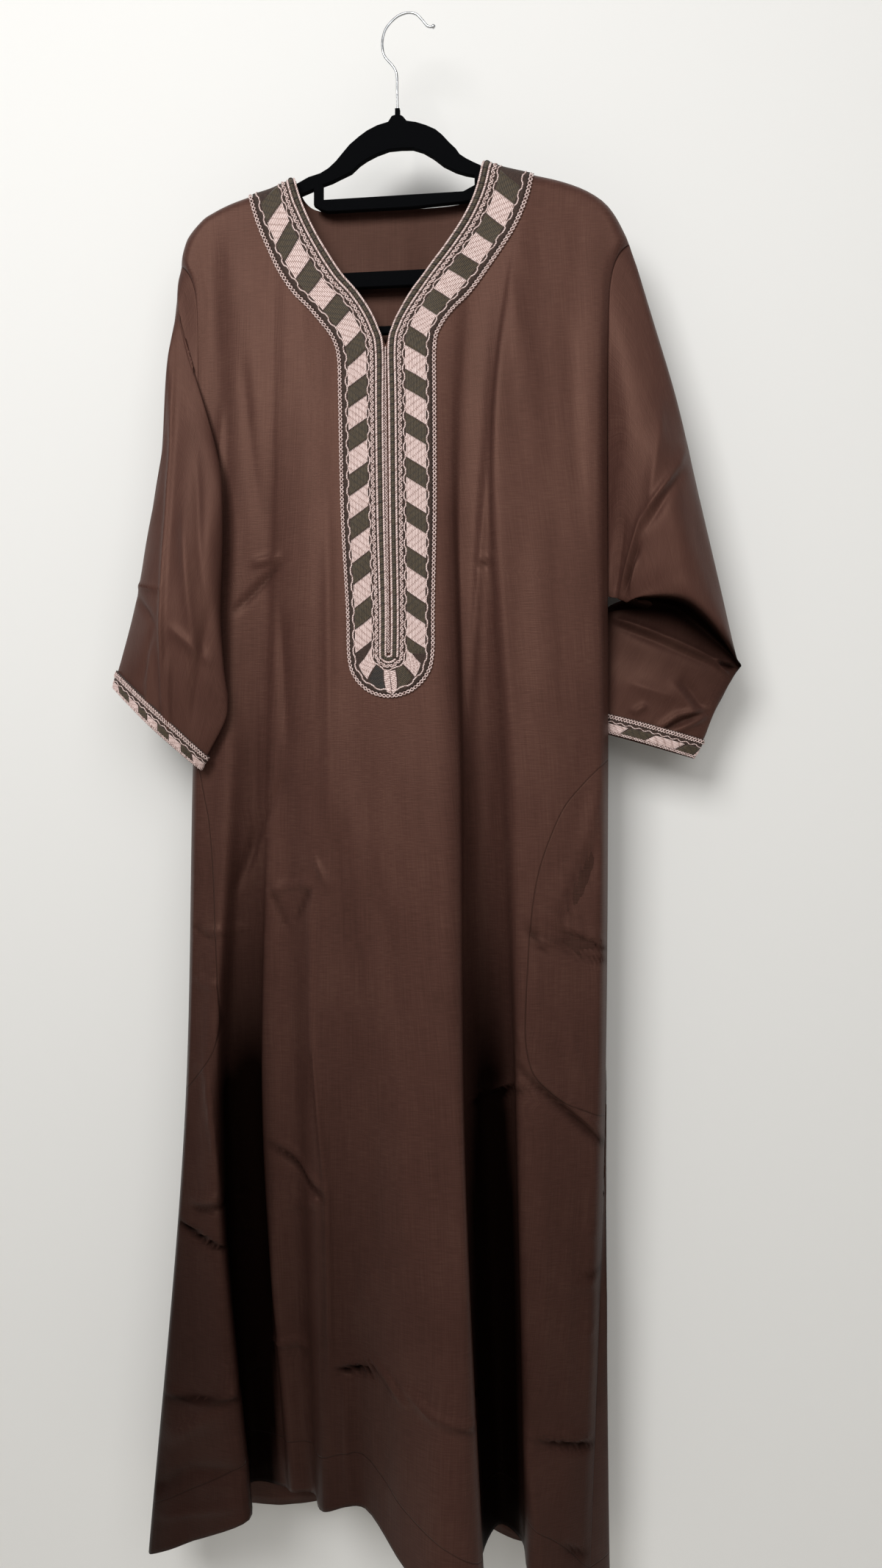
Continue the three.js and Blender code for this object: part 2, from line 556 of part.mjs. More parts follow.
// Point of the band at station s and w millimetres out from the inner edge.
function bandPoint(stations, s, w) {
  const knots = range(stations.length);
  const at = (key) => curve(knots, stations.map((r) => r[key]), s);
  const f = w / BAND_WIDTH;
  return [lerp(at('ix'), at('ox'), f), lerp(at('iz'), at('oz'), f)];
}

// Places along the band, close together where it turns over the shoulders.
function bandPlaces(count) {
  const end = [0, 0.06, 0.16, 0.3, 0.48, 0.72];
  const middle = range(Math.round((count - 2) * 1.5) + 1).map((k) => 1 + k / 1.5);
  const close = middle.filter((s) => s <= count - 1);
  return [...end, ...close, ...end.map((e) => count - e).reverse()];
}

// Strip of the band between given widths: heights of its outer face by width.
function bandStrip(profile, base) {
  const stations = bandStations();
  const places = bandPlaces(stations.length - 1);
  const side = (height) => profile.map(([w, h]) => places.map((s) => {
    const [x, depth] = bandPoint(stations, s, w);
    return aboveFront(x, depth, base + height(h));
  }));
  return shell(side((h) => h), side(() => 0), false);
}

const RELIEF = [[0.6, 1], [2.2, 1], [3.2, 2.1], [4.6, 2.5], [6, 2.1], [7, 1], [18, 1], [33, 1], [47, 1]];
add('neck_band', bandStrip(RELIEF, LAY_GAP), ground);
add('braid_outer', bandStrip([[47.6, 1.2], [49.8, 1.8], [52, 1.2]], LAY_GAP), thread);
add('braid_inner', bandStrip([[9, 1], [11.3, 1.5], [13.6, 1]], LAY_GAP * 2 + BAND_WALL), thread);

// Braid that closes the placket, down the middle gap.
function middleBraid() {
  const rows = range(13);
  const half = 1.6;
  const line = (side) => rows.map((j) => {
    const depth = lerp(361, PLACKET_END - 1, j / 12);
    const x = lerp(-14.5, -6.5, j / 12) + side * half;
    return [x, depth];
  });
  const grid = (height) => [-1, 0, 1].map((side) => line(side).map(([x, depth]) => (
    aboveFront(x, depth, height(side))
  )));
  return shell(grid((side) => LAY_GAP + (side === 0 ? 1.7 : 1.1)), grid(() => LAY_GAP), false);
}
add('braid_middle', middleBraid(), thread);

// Pocket bag behind the front: from near the seam to its stitch line.
function pocketWall(pocket, right) {
  const rows = 12;
  const spans = 4;
  const inset = 13;
  const from = pocket.z[0];
  const to = pocket.z[pocket.z.length - 1];
  const outer = range(spans + 1).map((i) => range(rows + 1).map((j) => {
    const depth = lerp(from, to, j / rows);
    const near = edgeX(right, depth) + (right ? -inset : inset);
    const far = curve(pocket.z, pocket.x, depth);
    const reach = right ? Math.min(far, near - 2) : Math.max(far, near + 2);
    const x = lerp(near, reach, i / spans);
    const u = columnAt(x, depth, right ? 13.5 : 0.1, right ? 18.9 : 7);
    const p = panelPoint(front, u, depth);
    const a = panelPoint(front, u - 0.05, depth);
    const b = panelPoint(front, u + 0.05, depth);
    const n = new THREE.Vector3(b.y - a.y, a.x - b.x, 0).normalize();
    return { p, n };
  }));
  const at = (gap) => outer.map((c) => c.map(({ p, n }) => p.clone().addScaledVector(n, -gap)));
  const gap = CLOTH + 1.5 * LAY_GAP;
  return shell(at(gap), at(gap + POCKET_WALL), false);
}
add('pocket_bag_left', pocketWall(POCKET_LEFT, false), satin);
add('pocket_bag_right', pocketWall(POCKET_RIGHT, true), satin);

// Hanger: a flat outline with its windows, given thickness along y.
function hangerBody() {
  const outline = HANGER_OUTLINE.map(([x, z]) => new THREE.Vector2(x, z)).reverse();
  const shape = new THREE.Shape(outline);
  shape.holes = HANGER_WINDOWS.map((w) => new THREE.Path(w.map(([x, z]) => new THREE.Vector2(x, z))));
  const bevel = 0.8;
  const geometry = new THREE.ExtrudeGeometry(shape, {
    depth: 2 * (HANGER_HALF - bevel),
    steps: 1,
    curveSegments: 1,
    bevelEnabled: true,
    bevelThickness: bevel,
    bevelSize: 0.6,
    bevelOffset: -0.6,
    bevelSegments: 1,
  });
  geometry.rotateX(Math.PI / 2);
  geometry.translate(0, HANGER_HALF - bevel, 0);
  return geometry;
}
add('hanger_body', hangerBody(), flock);

// Wire bent along the hook's middle line, its far end swollen to a ball.
function hookWire() {
  const path = new THREE.CatmullRomCurve3(HOOK.map(([x, z]) => new THREE.Vector3(x, 0, z)));
  const sides = 8;
  const steps = 26;
  const across = new THREE.Vector3(0, 1, 0);
  const position = [];
  const rings = range(steps + 1).map((k) => ({ t: 0.965 * k / steps, r: WIRE }));
  [[0.972, 1.9], [0.982, 2.4], [0.992, 2.2], [1, 1.1]].forEach(([t, r]) => rings.push({ t, r }));
  rings.forEach(({ t, r }) => {
    const p = path.getPointAt(t);
    const side = path.getTangentAt(t).cross(across).normalize();
    range(sides).forEach((i) => {
      const a = 2 * Math.PI * i / sides;
      const q = p.clone().addScaledVector(side, r * Math.cos(a)).addScaledVector(across, r * Math.sin(a));
      position.push(q.x, q.y, q.z);
    });
  });
  const index = [];
  const at = (k, i) => k * sides + (i % sides);
  range(rings.length - 1).forEach((k) => range(sides).forEach((i) => {
    index.push(at(k, i), at(k, i + 1), at(k + 1, i + 1), at(k, i), at(k + 1, i + 1), at(k + 1, i));
  }));
  range(sides - 2).forEach((i) => {
    index.push(at(0, 0), at(0, i + 2), at(0, i + 1));
    const k = rings.length - 1;
    index.push(at(k, 0), at(k, i + 1), at(k, i + 2));
  });
  return finish(position, index);
}
add('hanger_hook', hookWire(), chrome);

export default group;
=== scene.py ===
"""A brown satin thobe with embroidered neck band and cuffs, hung on a flocked hanger.

Millimetres in the tables, +X to the viewer's right, +Y to the wall, +Z up, the origin
under the top of the hook. Shapes are worked out in millimetres and stored in metres.
"""

import math

import bpy
import numpy as np
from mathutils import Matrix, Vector


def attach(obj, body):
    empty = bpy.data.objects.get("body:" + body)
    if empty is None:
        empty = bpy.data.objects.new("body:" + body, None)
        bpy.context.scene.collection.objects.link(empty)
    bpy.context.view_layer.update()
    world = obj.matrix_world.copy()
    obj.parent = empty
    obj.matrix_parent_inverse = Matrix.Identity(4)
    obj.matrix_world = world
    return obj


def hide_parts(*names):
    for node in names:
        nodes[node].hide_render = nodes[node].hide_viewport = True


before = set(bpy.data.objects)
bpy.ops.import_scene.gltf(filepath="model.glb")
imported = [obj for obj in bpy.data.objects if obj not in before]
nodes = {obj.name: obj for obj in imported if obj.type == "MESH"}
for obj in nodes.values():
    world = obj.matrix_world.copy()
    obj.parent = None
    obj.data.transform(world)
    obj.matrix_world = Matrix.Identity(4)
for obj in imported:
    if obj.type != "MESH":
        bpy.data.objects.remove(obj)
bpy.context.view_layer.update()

# ---------------------------------------------------------------- driving sizes
CLOTH = 1.2
SEAM_GAP = 0.4
LAY_GAP = 0.9
ARMHOLE_GAP = 0.1
SHOULDER_ROLL = 13
SIDE_ROLL = 11
TIP_FLARE = 22
TIP_FALL = 18
CHEST, WAIST, KNEE = 450, 820, 1200
HEM_LOW = 1700
ARMHOLE_TOP, ARMHOLE_END = 258, 627
ARMHOLE_CLOSE = 90      # length over which an armhole closes at its end
SIDE_FADE = 14          # creases fade out over this width at the side seams
BAND_WIDTH = 52
BAND_WALL = 1.0
SLIT_HALF = 2.2
PLACKET_END = 690
PLACKET_RADIUS = 46
WIRE = 1.4
CUFF_WALL = 1.0
CUFF_WIDE = 20
STITCH_UP = 55          # hem stitch above the hem
CREASE_GAIN = 1.7       # creases as drawn over creases as listed
CREASE_DARK = 14        # depth of a pressed-in crease whose painted shade would be full, mm
NO_STITCH = 99.0        # stitch distance where there is no stitch

# Shoulder line, x and height below the origin, tip to neck and neck to tip.
SHOULDER_X = [-243, -241, -235, -218, -206, -188, -166, -143, -115, 89,
              112, 143, 168, 190, 206, 218, 228, 238, 242]
SHOULDER_Z = [258, 245, 228, 209, 202, 194, 187, 181, 172, 165,
              172, 180.5, 187.5, 196, 205, 215, 229, 249, 258]

# Front fold lines: hem height below the origin, then x and depth towards the viewer
# at top, chest, waist, knee and hem; 1 marks lines whose span needs close columns.
FRONT = [
    ("seam left", 1656, [-221, -222, -230, -239, -277], [12, 8, 12, 14, 18], ""),
    ("side left", 1647, [-214, -208, -220, -230, -264], [12, 8, 16, 26, 34], "start"),
    ("flap middle", 1622, [-206, -194, -203, -214, -215], [12, 9, 20, 32, 46], ""),
    ("flap edge", 1590, [-188, -180, -184, -192, -152], [12, 14, 22, 36, 54], ""),
    ("valley left", 1590, [-166, -160, -168, -190, -168], [12, 20, 12, 0, -6], ""),
    ("floor left", 1592, [-143, -138, -148, -154, -132], [12, 20, 13, -4, -10], ""),
    ("step left", 1590, [-136, -129, -137, -147, -118], [12, 22, 22, 12, 4], ""),
    ("foot", 1588, [-129, -118, -120, -112, -94], [12, 24, 27, 14, 8], ""),
    ("ridge", 1579, [-115, -96, -89, -86, -75], [12, 27, 42, 42, 50], ""),
    ("shelf", 1570, [-65, -58, -45, -40, -30], [13, 27, 46, 50, 54], "start"),
    ("centre", 1602, [-15, -12, -5, 10, 15], [14, 28, 52, 66, 92], ""),
    ("crest", 1622, [38, 34, 38, 50, 60], [13, 27, 54, 74, 118], ""),
    ("edge", 1640, [64, 54, 65, 73, 96], [12.5, 24, 45, 66, 104], ""),
    ("wall right", 1630, [89, 66, 70, 70, 88], [12, 17, 24, 26, 36], "end"),
    ("floor right", 1619, [112, 83, 86, 88, 104], [12, 17, 12, -4, -10], ""),
    ("wall panel", 1630, [128, 96, 106, 121, 129], [12, 21, 19, 4, -2], ""),
    ("panel right", 1641, [143, 108, 126, 129, 138], [12, 28, 37, 35, 33], ""),
    ("panel middle", 1664, [175, 165, 178, 172, 168], [12, 22, 30, 29, 28], ""),
    ("side right", 1690, [212, 205, 210, 206, 190], [12, 20, 22, 20, 18], ""),
    ("seam right", 1700, [220, 219, 220, 216, 199], [12, 14, 12, 12, 12], "end"),
]
# Back fold lines, the depth counted towards the wall.
BACK = [
    ("seam left", 1656, [-221, -222, -230, -239, -277], [12, 13, 10, 14, 16], ""),
    ("side left", 1646, [-214, -206, -212, -223, -258], [12, 14, 12, 18, 22], "start"),
    ("blade left", 1628, [-180, -172, -172, -180, -186], [12, 17, 18, 27, 32], ""),
    ("neck left", 1622, [-115, -118, -120, -126, -132], [12, 20, 25, 22, 24], ""),
    ("nape left", 1615, [-95, -92, -90, -92, -95], [13, 18, 20, 22, 26], "start"),
    ("spine left", 1612, [-55, -55, -52, -52, -52], [14, 23, 24, 34, 42], ""),
    ("spine", 1612, [-12, -12, -10, -6, -4], [14, 20, 20, 22, 22], ""),
    ("spine right", 1620, [40, 40, 42, 46, 52], [14, 24, 28, 36, 44], ""),
    ("neck right", 1634, [89, 92, 94, 100, 108], [12, 20, 20, 20, 18], "end"),
    ("blade right", 1660, [160, 156, 150, 156, 170], [12, 17, 10, 28, 36], ""),
    ("side right", 1692, [212, 205, 204, 212, 222], [12, 14, 6, 16, 16], ""),
    ("seam right", 1700, [220, 219, 220, 216, 199], [12, 14, 8, 10, 8], "end"),
]
SEAM_Y = {"left": [0, 0, 0, 0, 0], "right": [0, 0, 0, -2, -10]}
# Half openings of the armholes, front and back, at four heights down the armhole.
ARMHOLE_LEVELS = [258, 320, 442, 627]
ARMHOLE = {"left": {-1: [12, 11.5, 8, 8], 1: [12, 13, 13, 13]},
           "right": {-1: [12, 11.5, 5, 5], 1: [12, 13, 14, 14]}}

# Necklines, x and height below the origin, left to right.
NECK_LEFT = ([-115, -106, -95, -81, -62, -45, -32, -23, -15],
             [172, 199, 224, 249, 279, 299, 318, 338, 358])
NECK_RIGHT = ([-15, -7, 1, 14, 30, 49, 68, 81, 89],
              [358, 338, 320, 299, 278, 253, 224, 196, 165])
NECK_BACK = ([-115, -109, -99, -82, -12, 58, 74, 83, 89],
             [172, 186, 196, 200, 201, 200, 194, 181, 165])


def panel(table, sign, neck, line_left, line_right):
    """A panel's table as arrays: lines down the first axis, levels along the second."""
    return {
        "hem": np.array([r[1] for r in table], float),
        "x": np.array([r[2] for r in table], float),
        "d": np.array([r[3] for r in table], float),
        "close": [r[4] for r in table],
        "sign": sign, "neck": neck, "lines": (line_left, line_right),
    }


FRONT_PANEL = panel(FRONT, -1, (8, 10, 13), NECK_LEFT, NECK_RIGHT)
BACK_PANEL = panel(BACK, 1, (3, 6, 8), NECK_BACK, NECK_BACK)

# Neck band stations down one side: inner edge x, depth and outer edge x, depth.
BAND_LEFT = [
    (-114.5, 173, -166, 188.5), (-106, 200, -156, 222), (-95, 225, -142, 255),
    (-81, 250, -131, 277), (-62, 280, -116, 300), (-45, 300, -99, 318),
    (-32, 319, -84, 336), (-23, 339, -72, 353), (-17.5, 360, -66, 374),
    (-15, 420, -64, 420), (-12, 540, -60, 540), (-9, 640, -53, 640),
]
BAND_RIGHT = [
    (88.5, 166.5, 143, 182.5), (81, 197, 138, 207), (68, 225, 127, 236),
    (49, 254, 113, 259), (30, 279, 96, 282), (14, 300, 78, 305),
    (1.5, 321, 60, 324), (-7, 339, 47, 342), (-11.5, 360, 41, 362),
    (-10, 420, 41, 420), (-7.5, 540, 42, 540), (-4.5, 640, 41, 640),
]

# Sleeve rings from armhole to cuff: top, front, under and back points.
SLEEVE_LEFT = [
    ((-247, -1, -280), (-229, -11, -450), (-234, -4, -637), (-233, 13, -450)),
    ((-249, -5, -315), (-209, -16, -465), (-235, -13, -654), (-243, 9, -475)),
    ((-253, -10, -365), (-193, -22, -490), (-226, -15, -676), (-250, -3, -520)),
    ((-255, -14, -430), (-189, -36, -525), (-206, -20, -705), (-250, -12, -575)),
    ((-265, -17, -500), (-206, -50, -580), (-186, -28, -722), (-240, -12, -630)),
    ((-277, -19, -570), (-232, -54, -632), (-181, -32, -740), (-232, -12, -665)),
    ((-287, -20, -632), (-249, -52, -680), (-186, -32, -760), (-236, -12, -700)),
    ((-307, -20, -701), (-254, -45, -745), (-204, -30, -794), (-256, -12, -748)),
    ((-311, -20, -721), (-261, -44, -765), (-213, -30, -809), (-262, -13, -766)),
]
SLEEVE_RIGHT = [
    ((255, 0, -300), (238, -20, -452), (228, -1, -629), (238, 18, -452)),
    ((286, 2, -404), (262, -29, -500), (232, -2, -631), (262, 26, -500)),
    ((310, 4, -503), (280, -32, -548), (236, -3, -633), (284, 32, -548)),
    ((335, 7, -612), (293, -29, -602), (240, -4, -634), (298, 36, -600)),
    ((354, 10, -692), (303, -20, -638), (245, -6, -631), (300, 38, -645)),
    ((358, 13, -700), (290, 19, -636), (221, 10, -638), (297, 40, -655)),
    ((354, 14, -707), (284, 2, -670), (213, 18, -656), (290, 40, -672)),
    ((342, 14, -728), (272, 0, -702), (198, 22, -690), (275, 37, -704)),
    ((331, 14, -750), (263, -1, -728), (190, 22, -714), (264, 35, -730)),
    ((320, 13, -777), (253, 1, -758), (184, 22, -740), (254, 32, -758)),
    ((308, 12, -797), (245, 3, -778), (178, 22, -760), (246, 30, -778)),
]

# Pocket stitch lines on the front: heights below the origin and x.
POCKET_LEFT = ([842, 866, 928, 980, 1040, 1080, 1106, 1125, 1136],
               [-211, -206, -200, -197, -193, -191, -196, -207, -216])
POCKET_RIGHT = ([806, 823, 847, 879, 915, 956, 1020, 1080, 1106, 1127, 1150, 1161],
                [212, 195, 175, 160, 148, 141, 136, 134, 137, 145, 168, 192])

# Hook wire, x and z of its middle, from the stem to the ball end.
HOOK = [(-4, -99.6), (-4.5, -80), (-5, -62), (-8.5, -54), (-18, -42), (-20.5, -32),
        (-20, -22), (-17, -13), (-11.5, -6), (-4.5, -0.4), (3, 2.6), (10, 3),
        (16.5, 0.6), (22, -5), (28, -12.4), (32, -13.8), (37, -13)]

# Pressed creases of the front: ends x, depth; half width; height towards the viewer.
FRONT_CREASES = [
    (-157, 587, -129, 582, 3.2, 2.8), (-178, 638, -128, 591, 3.4, -3), (84, 590, 101, 587, 2.6, 2),
    (84, 595, 98, 593, 2.8, -1.8), (-141, 940, -107, 929, 4, 3.2), (-105, 929, -88, 931, 4, 2.8),
    (-109, 968, -90, 932, 4, -3.4), (-91, 947, -89, 1083, 4, 2.4), (-138, 934, -119, 979, 4, -2.2),
    (-179, 939, -151, 866, 6, -2.8), (-152, 867, -120, 818, 6, -2.4),
    (-166, 934, -142, 867, 5, 2.6), (-85, 903, -70, 932, 4, 1.8), (-224, 984, -172, 980, 4, 2.4),
    (-224, 976, -198, 990, 3.6, -2), (-222, 1033, -191, 1041, 4, 2),
    (-220, 1126, -207, 1130, 3.5, 1.8), (-206, 1127, -185, 1259, 4, 2.6),
    (-195, 1124, -178, 1318, 5, -2), (-221, 1267, -184, 1262, 4, 2.6),
    (-216, 1276, -172, 1270, 4, -2.6), (-234, 1294, -178, 1317, 4, -3.6),
    (-233, 1289, -177, 1310, 4, 2.6), (-249, 1472, -204, 1478, 4, 3.4),
    (-204, 1477, -161, 1459, 4, 3.4), (-247, 1478, -161, 1469, 5, -2.2),
    (-244, 1519, -185, 1482, 13, 3), (-259, 1578, -226, 1554, 8, -3),
    (-224, 1551, -159, 1541, 8, -3), (-253, 1603, -156, 1573, 5, 1.8),
    (-136, 1215, -78, 1254, 4, -3.8), (-129, 1210, -75, 1246, 4, 2.8),
    (-117, 1278, -78, 1257, 5, 2.4), (-89, 1084, -74, 1238, 4, 2.8),
    (-72, 1236, -68, 1429, 4.5, 3), (-167, 1453, -144, 1432, 4, 3.2),
    (-144, 1431, -124, 1426, 4, 3.2), (-123, 1424, -91, 1427, 4, 3),
    (-58, 1432, -17, 1423, 3.6, -3.8), (-58, 1426, -17, 1417, 3.6, 2.6),
    (-15, 1418, 12, 1444, 3.8, 3.2), (16, 1429, 47, 1453, 3.8, 3.2),
    (48, 1448, 77, 1460, 3.8, 3.2), (78, 1458, 94, 1452, 3.8, 3), (51, 1453, 89, 1464, 3.6, -2.2),
    (-10, 1305, -42, 1379, 8, 2.2), (81, 1156, 134, 1132, 4, 3.4), (81, 1162, 134, 1138, 4, -2.2),
    (135, 1124, 222, 1206, 4, -4.4), (139, 1118, 227, 1199, 5, 3.2), (127, 1078, 141, 1127, 4, 2),
    (150, 1502, 207, 1515, 4, -4), (139, 1498, 207, 1504, 4, 3), (192, 1289, 224, 1295, 4, 2.4),
    (183, 1346, 224, 1333, 6, 2.6), (191, 1339, 224, 1326, 4, -2), (195, 1397, 223, 1382, 4, 2.2),
    (126, 1482, 150, 1610, 10, 3), (174, 1615, 198, 1629, 4, -2.4), (148, 990, 174, 983, 3.6, 3.2),
    (148, 981, 192, 994, 3.6, -2.6), (170, 978, 227, 1001, 3.8, -3.8),
    (174, 973, 227, 992, 4.5, 3.2), (176, 998, 227, 1011, 3.6, -3), (180, 1003, 227, 1005, 4, 2.4),
    (156, 973, 191, 901, 5, 3.2), (191, 901, 207, 841, 6, 2.6), (170, 969, 207, 888, 8, -2.2),
    (136, 970, 153, 997, 4, -2.8), (141, 1000, 139, 1063, 4, 2.2), (-63, 873, -55, 1010, 8, -2.2),
    (-45, 842, -28, 1024, 8, 2.2), (-13, 946, 8, 1082, 7, -2.4), (42, 909, 44, 1087, 6, -2),
    (-126, 647, -118, 780, 8, -2.6), (-157, 764, -161, 930, 8, -2.2), (-73, 541, -68, 866, 9, 2.2),
    (92, 496, 76, 735, 7, 2.6), (122, 582, 131, 781, 6, -2.8), (151, 546, 157, 781, 8, 2.4),
    (61, 543, 67, 773, 8, -2), (19, 774, 23, 955, 10, 1.6), (-194, 423, -201, 550, 8, 1.8),
    (-169, 378, -153, 536, 10, -1.6), (122, 313, 149, 498, 9, 2), (176, 337, 191, 544, 9, -1.8),
    (10, 1108, 15, 1293, 9, 2.2), (46, 1124, 60, 1355, 10, -2), (75, 1136, 89, 1423, 8, 2),
    (-26, 1151, -17, 1346, 10, -2), (-134, 1283, -141, 1411, 9, 1.8),
    (-117, 1329, -107, 1559, 8, -2), (-51, 1443, -48, 1557, 6, 2.2),
    (-10, 1432, -3, 1581, 8, -2.2), (153, 1199, 154, 1457, 9, 2.2),
    (191, 1215, 188, 1459, 8, -1.8), (176, 1078, 198, 1146, 7, 2),
]
SLEEVE_LEFT_CREASES = [
    (-247, 409, -247, 772, 3.5, 3), (-285, 610, -250, 619, 3.5, 2.4),
    (-283, 622, -257, 653, 4, -2), (-235, 662, -199, 695, 7, 2.2), (-273, 716, -258, 661, 6, -2),
    (-217, 476, -203, 616, 8, -2), (-227, 539, -211, 695, 8, 2.4), (-198, 648, -217, 757, 7, -2.2),
    (-261, 677, -268, 772, 6, 2.2), (-240, 694, -243, 780, 4, 2.4), (-254, 325, -250, 453, 8, 1.8),
]
SLEEVE_RIGHT_CREASES = [
    (232, 624, 251, 554, 3.6, 3.4), (237, 624, 250, 578, 3.2, -3), (243, 624, 247, 590, 3, 2.4),
    (251, 555, 289, 499, 4, 3), (290, 498, 300, 471, 6, 2), (227, 624, 235, 557, 6, -2.4),
    (258, 560, 295, 503, 6, -2.4), (274, 441, 259, 546, 8, 1.8), (233, 651, 272, 667, 4, 3.4),
    (272, 667, 330, 694, 4, 3.4), (330, 694, 351, 699, 4, 3), (334, 697, 352, 703, 3, -3),
    (330, 696, 344, 709, 3, 2.4), (233, 658, 328, 701, 6, -1.8), (298, 716, 322, 749, 8, -2.6),
    (287, 719, 312, 752, 8, 2.2), (273, 766, 292, 752, 4, 3.4), (292, 752, 322, 746, 4, 3.2),
    (279, 767, 314, 750, 4, -3), (290, 769, 322, 753, 4, 2.6), (246, 750, 259, 742, 4, 2.2),
    (245, 719, 290, 735, 10, 1.8),
]


# ---------------------------------------------------------------- curves and surfaces
def cubic(knots, values, t):
    """Smooth curve through values at rising knots: on each span the cubic with the end
    values and, at each knot, the slope between its two neighbours. Knots and values run
    down their first axis, and their last axis, if any, follows the columns of t."""
    t = np.asarray(t, float)
    k, v = (np.asarray(a, float) for a in (knots, values))
    k, v = (a.reshape(a.shape[:1] + (1,) * (t.ndim - a.ndim + 1) + a.shape[1:]) for a in (k, v))
    k, v = k + 0 * v, v + 0 * k
    up = lambda a: np.concatenate([a[1:], a[-1:]])
    down = lambda a: np.concatenate([a[:1], a[:-1]])
    slope = (up(v) - down(v)) / (up(k) - down(k))
    i = np.sum(t[None] > k[1:-1], axis=0)[None]
    pick = lambda a, j: np.take_along_axis(a, j, axis=0)[0]
    k0, k1 = pick(k, i), pick(k, i + 1)
    h = k1 - k0
    s = np.clip((t - k0) / h, 0, 1)
    s2, s3 = s * s, s * s * s
    return (
        (2 * s3 - 3 * s2 + 1) * pick(v, i) + (s3 - 2 * s2 + s) * h * pick(slope, i)
        + (3 * s2 - 2 * s3) * pick(v, i + 1) + (s3 - s2) * h * pick(slope, i + 1)
    )


def roll(t):
    """Quarter circle: 0 at an edge, 1 from one unit inwards."""
    r = 1 - np.clip(t, 0, 1)
    return np.sqrt(1 - r * r)


def lines_of(p):
    return np.arange(len(p["hem"]), dtype=float)


def flare_out(p, u, fall):
    """Outward shift of the shoulder tips: it fades over two lines and down the side."""
    last = len(p["hem"]) - 1
    near = np.minimum(u, last - u)
    side = np.where(u > last / 2, 1, -1)
    return (side * TIP_FLARE * np.clip(1 - near / 2, 0, 1) ** 1.5
            * np.exp(-np.maximum(fall, 0) / TIP_FALL))


def top_x(p, u):
    return cubic(lines_of(p), p["x"][:, 0], u) + flare_out(p, u, 0)


def shoulder_depth(p, u):
    """Height below the origin of the shoulder line, straight across the neck."""
    left, _, right = p["neck"]
    f = (u - left) / (right - left)
    across = NECK_LEFT[1][0] + (NECK_RIGHT[1][-1] - NECK_LEFT[1][0]) * f
    outside = (u <= left) | (u >= right)
    return np.where(outside, cubic(SHOULDER_X, SHOULDER_Z, top_x(p, u)), across)


def top_depth(p, u):
    """Height below the origin where a column starts: shoulder line or neckline."""
    left, tip, right = p["neck"]
    x = top_x(p, u)
    neck = np.where(u < tip, cubic(*p["lines"][0], x), cubic(*p["lines"][1], x))
    return np.where((u <= left) | (u >= right), shoulder_depth(p, u), neck)


def armhole_half(name, sign, depth):
    """Half opening of an armhole: it closes roundly at its top and its end."""
    t = (2 * depth - ARMHOLE_TOP - ARMHOLE_END) / (ARMHOLE_END - ARMHOLE_TOP)
    end = roll((ARMHOLE_END - depth) / ARMHOLE_CLOSE)
    bow = np.where(t < 0, np.clip(1 - t * t, 0, 1) ** 0.25, end)
    inside = np.clip(depth, ARMHOLE_TOP, ARMHOLE_END)
    return cubic(ARMHOLE_LEVELS, ARMHOLE[name][sign], inside) * bow


def edge_y(p, right, depth):
    """y of a panel's own side edge: the seam, or the edge of the open armhole."""
    levels = [ARMHOLE_TOP, CHEST, WAIST, KNEE, HEM_LOW]
    seam = np.where(right, cubic(levels, SEAM_Y["right"], depth),
                    cubic(levels, SEAM_Y["left"], depth))
    half = np.where(right, armhole_half("right", p["sign"], depth),
                    armhole_half("left", p["sign"], depth))
    return seam + p["sign"] * np.maximum(half, SEAM_GAP / 2)


def edge_x(right, depth):
    """x of the side seam with the flare of the shoulder tip."""
    def side(row, way):
        levels = [ARMHOLE_TOP, CHEST, WAIST, KNEE, row[1]]
        flare = TIP_FLARE * np.exp(-np.maximum(depth - ARMHOLE_TOP, -60) / TIP_FALL)
        return cubic(levels, row[2], depth) + way * flare
    return np.where(right, side(FRONT[-1], 1), side(FRONT[0], -1))


def panel_point(p, u, depth):
    """Smooth outer face of a panel: x and depth of the fold lines carried down the five
    levels, turned over at the side seams and at the shoulder by quarter circles."""
    u = np.asarray(u, float)
    line = lines_of(p)
    top = top_depth(p, u)
    hem = cubic(line, p["hem"], u)
    knots = np.stack([np.minimum(top, CHEST - 60), 0 * u + CHEST, 0 * u + WAIST,
                      0 * u + KNEE, hem])
    xs = np.stack([cubic(line, p["x"][:, k], u) for k in range(5)])
    ds = np.stack([cubic(line, p["d"][:, k], u) for k in range(5)])
    x = cubic(knots, xs, depth) + flare_out(p, u, depth - top)
    d = cubic(knots, ds, depth)
    last = line[-1]
    right = u > last / 2
    edge = edge_y(p, right, depth)
    near = np.minimum(u, last - u)
    inward = np.where(near < 1, np.abs(x - edge_x(right, depth)), SIDE_ROLL)
    sign = p["sign"]
    turn = roll(inward / SIDE_ROLL)
    if sign > 0:
        # Low down, the back's right edge turns over twice as widely.
        low = np.clip((depth - 1240) / 120, 0, 1) * right
        turn = turn + (np.where(near < 1, np.clip(inward / 23, 0, 1), 1) - turn) * low
    y = edge + (sign * d - edge) * turn
    fall = depth - shoulder_depth(p, u)
    y = sign * SEAM_GAP / 2 + (y - sign * SEAM_GAP / 2) * roll(fall / SHOULDER_ROLL)
    return x, y


